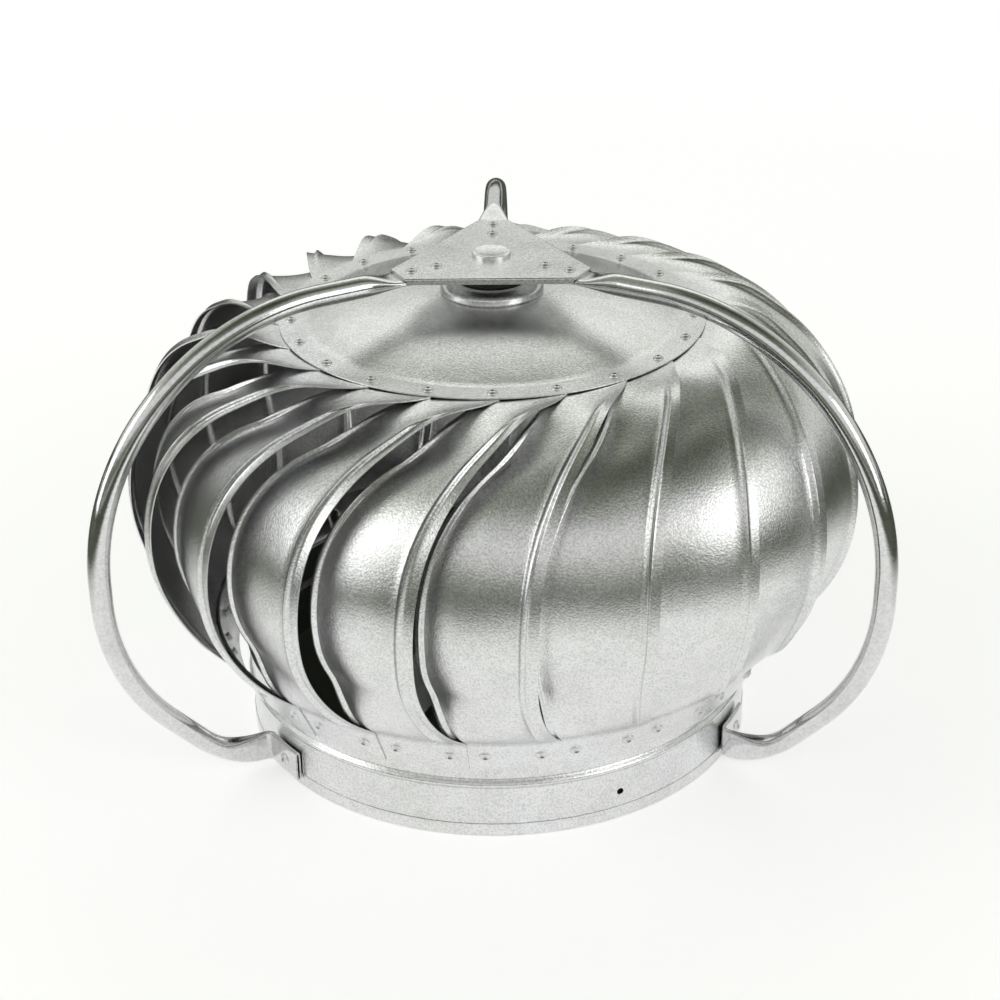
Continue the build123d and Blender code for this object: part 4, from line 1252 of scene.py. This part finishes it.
@dataclass(frozen=True)
class Floor:
    """A white floor that takes a soft shadow and fades out far away; inside the throat it is
    painted dark as shade.

    Gloss sees it white only over an oval round the object, and grey-green beyond.
    """

    z: float = -0.0004
    half_side: float = 6.0
    glow: float = 0.46
    oval_mm: tuple[float, float] = (470.0, 760.0)
    oval_shape: Point = (1.10, 1.0, 1.0)
    oval_shift: Point = (0.0, 0.17, 0.0)
    fade_mm: tuple[float, float] = (600.0, 1500.0)
    throat_margin: float = 0.5
    # Grey-green seen by gloss beyond the oval; inside the throat this colour is painted shade.
    dark: Colour = (0.14, 0.15, 0.12)

    def shown(self, nodes: Nodes, where: bpy.types.NodeSocket,
              distance: bpy.types.NodeSocket) -> bpy.types.NodeSocket:
        """Work out which rays see the floor white; inside the throat none do, as painted shade.

        Args:
            nodes: the material's tree.
            where: the place on the floor.
            distance: its distance from the shaft.
        Returns:
            1 for white, 0 for dark.
        """
        path = nodes.add("ShaderNodeLightPath").outputs
        seen = nodes.math("MAXIMUM", path["Is Camera Ray"], path["Is Glossy Ray"])
        seen = nodes.math("MAXIMUM", seen, path["Is Transmission Ray"])
        oval = nodes.add("ShaderNodeVectorMath", where, self.oval_shape, self.oval_shift,
                         operation="MULTIPLY_ADD").outputs["Vector"]
        spread = nodes.add("ShaderNodeVectorMath", oval, operation="LENGTH").outputs["Value"]
        paper = nodes.add("ShaderNodeMapRange", Value=spread, From_Min=self.oval_mm[0] * MM,
                          From_Max=self.oval_mm[1] * MM, To_Min=1.0, To_Max=0.0)
        mirrored = nodes.math("MULTIPLY", seen, paper.outputs["Result"])
        either = nodes.math("MAXIMUM", mirrored, path["Is Camera Ray"])
        # Inside the throat the floor is dark for every ray: painted shade under the ventilator.
        outside = nodes.math("GREATER_THAN", distance, (THROAT_R + self.throat_margin) * MM)
        return nodes.math("MULTIPLY", either, outside)

    def build(self) -> None:
        """Add the floor."""
        corners = ((-1, -1), (1, -1), (1, 1), (-1, 1))
        mesh = bpy.data.meshes.new("floor")
        mesh.from_pydata([(x * self.half_side, y * self.half_side, self.z) for x, y in corners],
                         [], [(0, 1, 2, 3)])
        floor = add_object("floor", mesh)
        material = bpy.data.materials.new("floor")
        nodes = Nodes.of(material)
        where = nodes.add("ShaderNodeTexCoord").outputs["Object"]
        distance = nodes.add("ShaderNodeVectorMath", where, operation="LENGTH").outputs["Value"]
        matt = nodes.add("ShaderNodeBsdfDiffuse", Color=(0.9, 0.9, 0.9, 1)).outputs["BSDF"]
        glow = nodes.add("ShaderNodeEmission", Color=(1, 1, 1, 1), Strength=self.glow)
        near = nodes.add("ShaderNodeAddShader", matt, glow.outputs["Emission"]).outputs["Shader"]
        far = nodes.add("ShaderNodeEmission", Color=(1, 1, 1, 1), Strength=1.0)
        away = nodes.add("ShaderNodeMapRange", Value=distance, From_Min=self.fade_mm[0] * MM,
                         From_Max=self.fade_mm[1] * MM).outputs["Result"]
        white = nodes.add("ShaderNodeMixShader", away, near, far.outputs["Emission"])
        dark = nodes.add("ShaderNodeBsdfDiffuse", Color=(*self.dark, 1)).outputs["BSDF"]
        pick = nodes.add("ShaderNodeMixShader", self.shown(nodes, where, distance), dark,
                         white.outputs["Shader"])
        nodes.add("ShaderNodeOutputMaterial", Surface=pick.outputs["Shader"])
        floor.data.materials.append(material)


@dataclass(frozen=True)
class MainCamera:
    """The main view's camera: a place in mm, and small turns in degrees off its first aim."""

    place: Point = (27.1, -1141.5, 713.7)
    target_drop: float = 6.7
    turn: float = 1.36
    pitch: float = 5.4545
    yaw: float = 0.1195
    roll: float = 0.9697
    lens: float = 75.83
    sensor: float = 36.0

    def axes(self) -> Matrix:
        """Work out which way the camera looks.

        Returns:
            Its right, up and backward directions as columns.
        """
        straight = Matrix.Rotation(math.radians(-self.turn), 3, "Z") @ Vector(self.place)
        forward = Vector((0, 0, -self.target_drop)) - Vector((0, straight.y, straight.z))
        forward.normalize()
        right = Vector((1, 0, 0))
        rows = Matrix((right, right.cross(forward), forward))
        tip = Matrix.Rotation(math.radians(self.pitch), 3, "X")
        pan = Matrix.Rotation(math.radians(-self.yaw), 3, "Y")
        bank = Matrix.Rotation(math.radians(self.roll), 3, "Z")
        view = bank @ pan @ tip @ rows
        level = Matrix((view[0], view[1], -view[2])).transposed()
        return Matrix.Rotation(math.radians(self.turn), 3, "Z") @ level

    def build(self) -> None:
        """Add the camera and make it the scene's."""
        data = bpy.data.cameras.new("camera")
        data.lens = self.lens
        data.sensor_width = self.sensor
        data.clip_start = 0.01
        camera = add_object("camera", data)
        camera.matrix_world = Matrix.Translation(Vector(self.place) * MM) @ self.axes().to_4x4()
        bpy.context.scene.camera = camera


@dataclass(frozen=True)
class Studio:
    """Floor, background, soft light and camera."""

    parts: tuple[object, ...] = (
        Sky(), Floor(), MainCamera(),
        SoftBox("left box", (-1.7, -0.5, 0.8), (1.0, 1.4), 6.0),
        SoftBox("right box", (1.5, -1.2, 0.9), (0.9, 1.3), 5.5),
        SoftBox("rear box", (0.0, 1.6, 1.6), (1.8, 0.9), 3.0))

    def build(self) -> None:
        """Set up the whole studio."""
        for part in self.parts:
            part.build()
        bpy.context.scene.view_settings.view_transform = "Standard"


def main() -> None:
    """Dress the object and set up its studio."""
    logging.basicConfig(level=logging.INFO)
    finishes = Finishes()
    dress_nodes(finishes)
    vanes, braces = VaneSet(), Braces()
    for group in (vanes, Crown(), Collar(), Hub(), Pin(), braces, Rivets(vanes, braces)):
        group.dress(finishes)
    Studio().build()
    log.info("dressed %d nodes", len(frame["nodes"]))


if __name__ == "__main__":
    main()
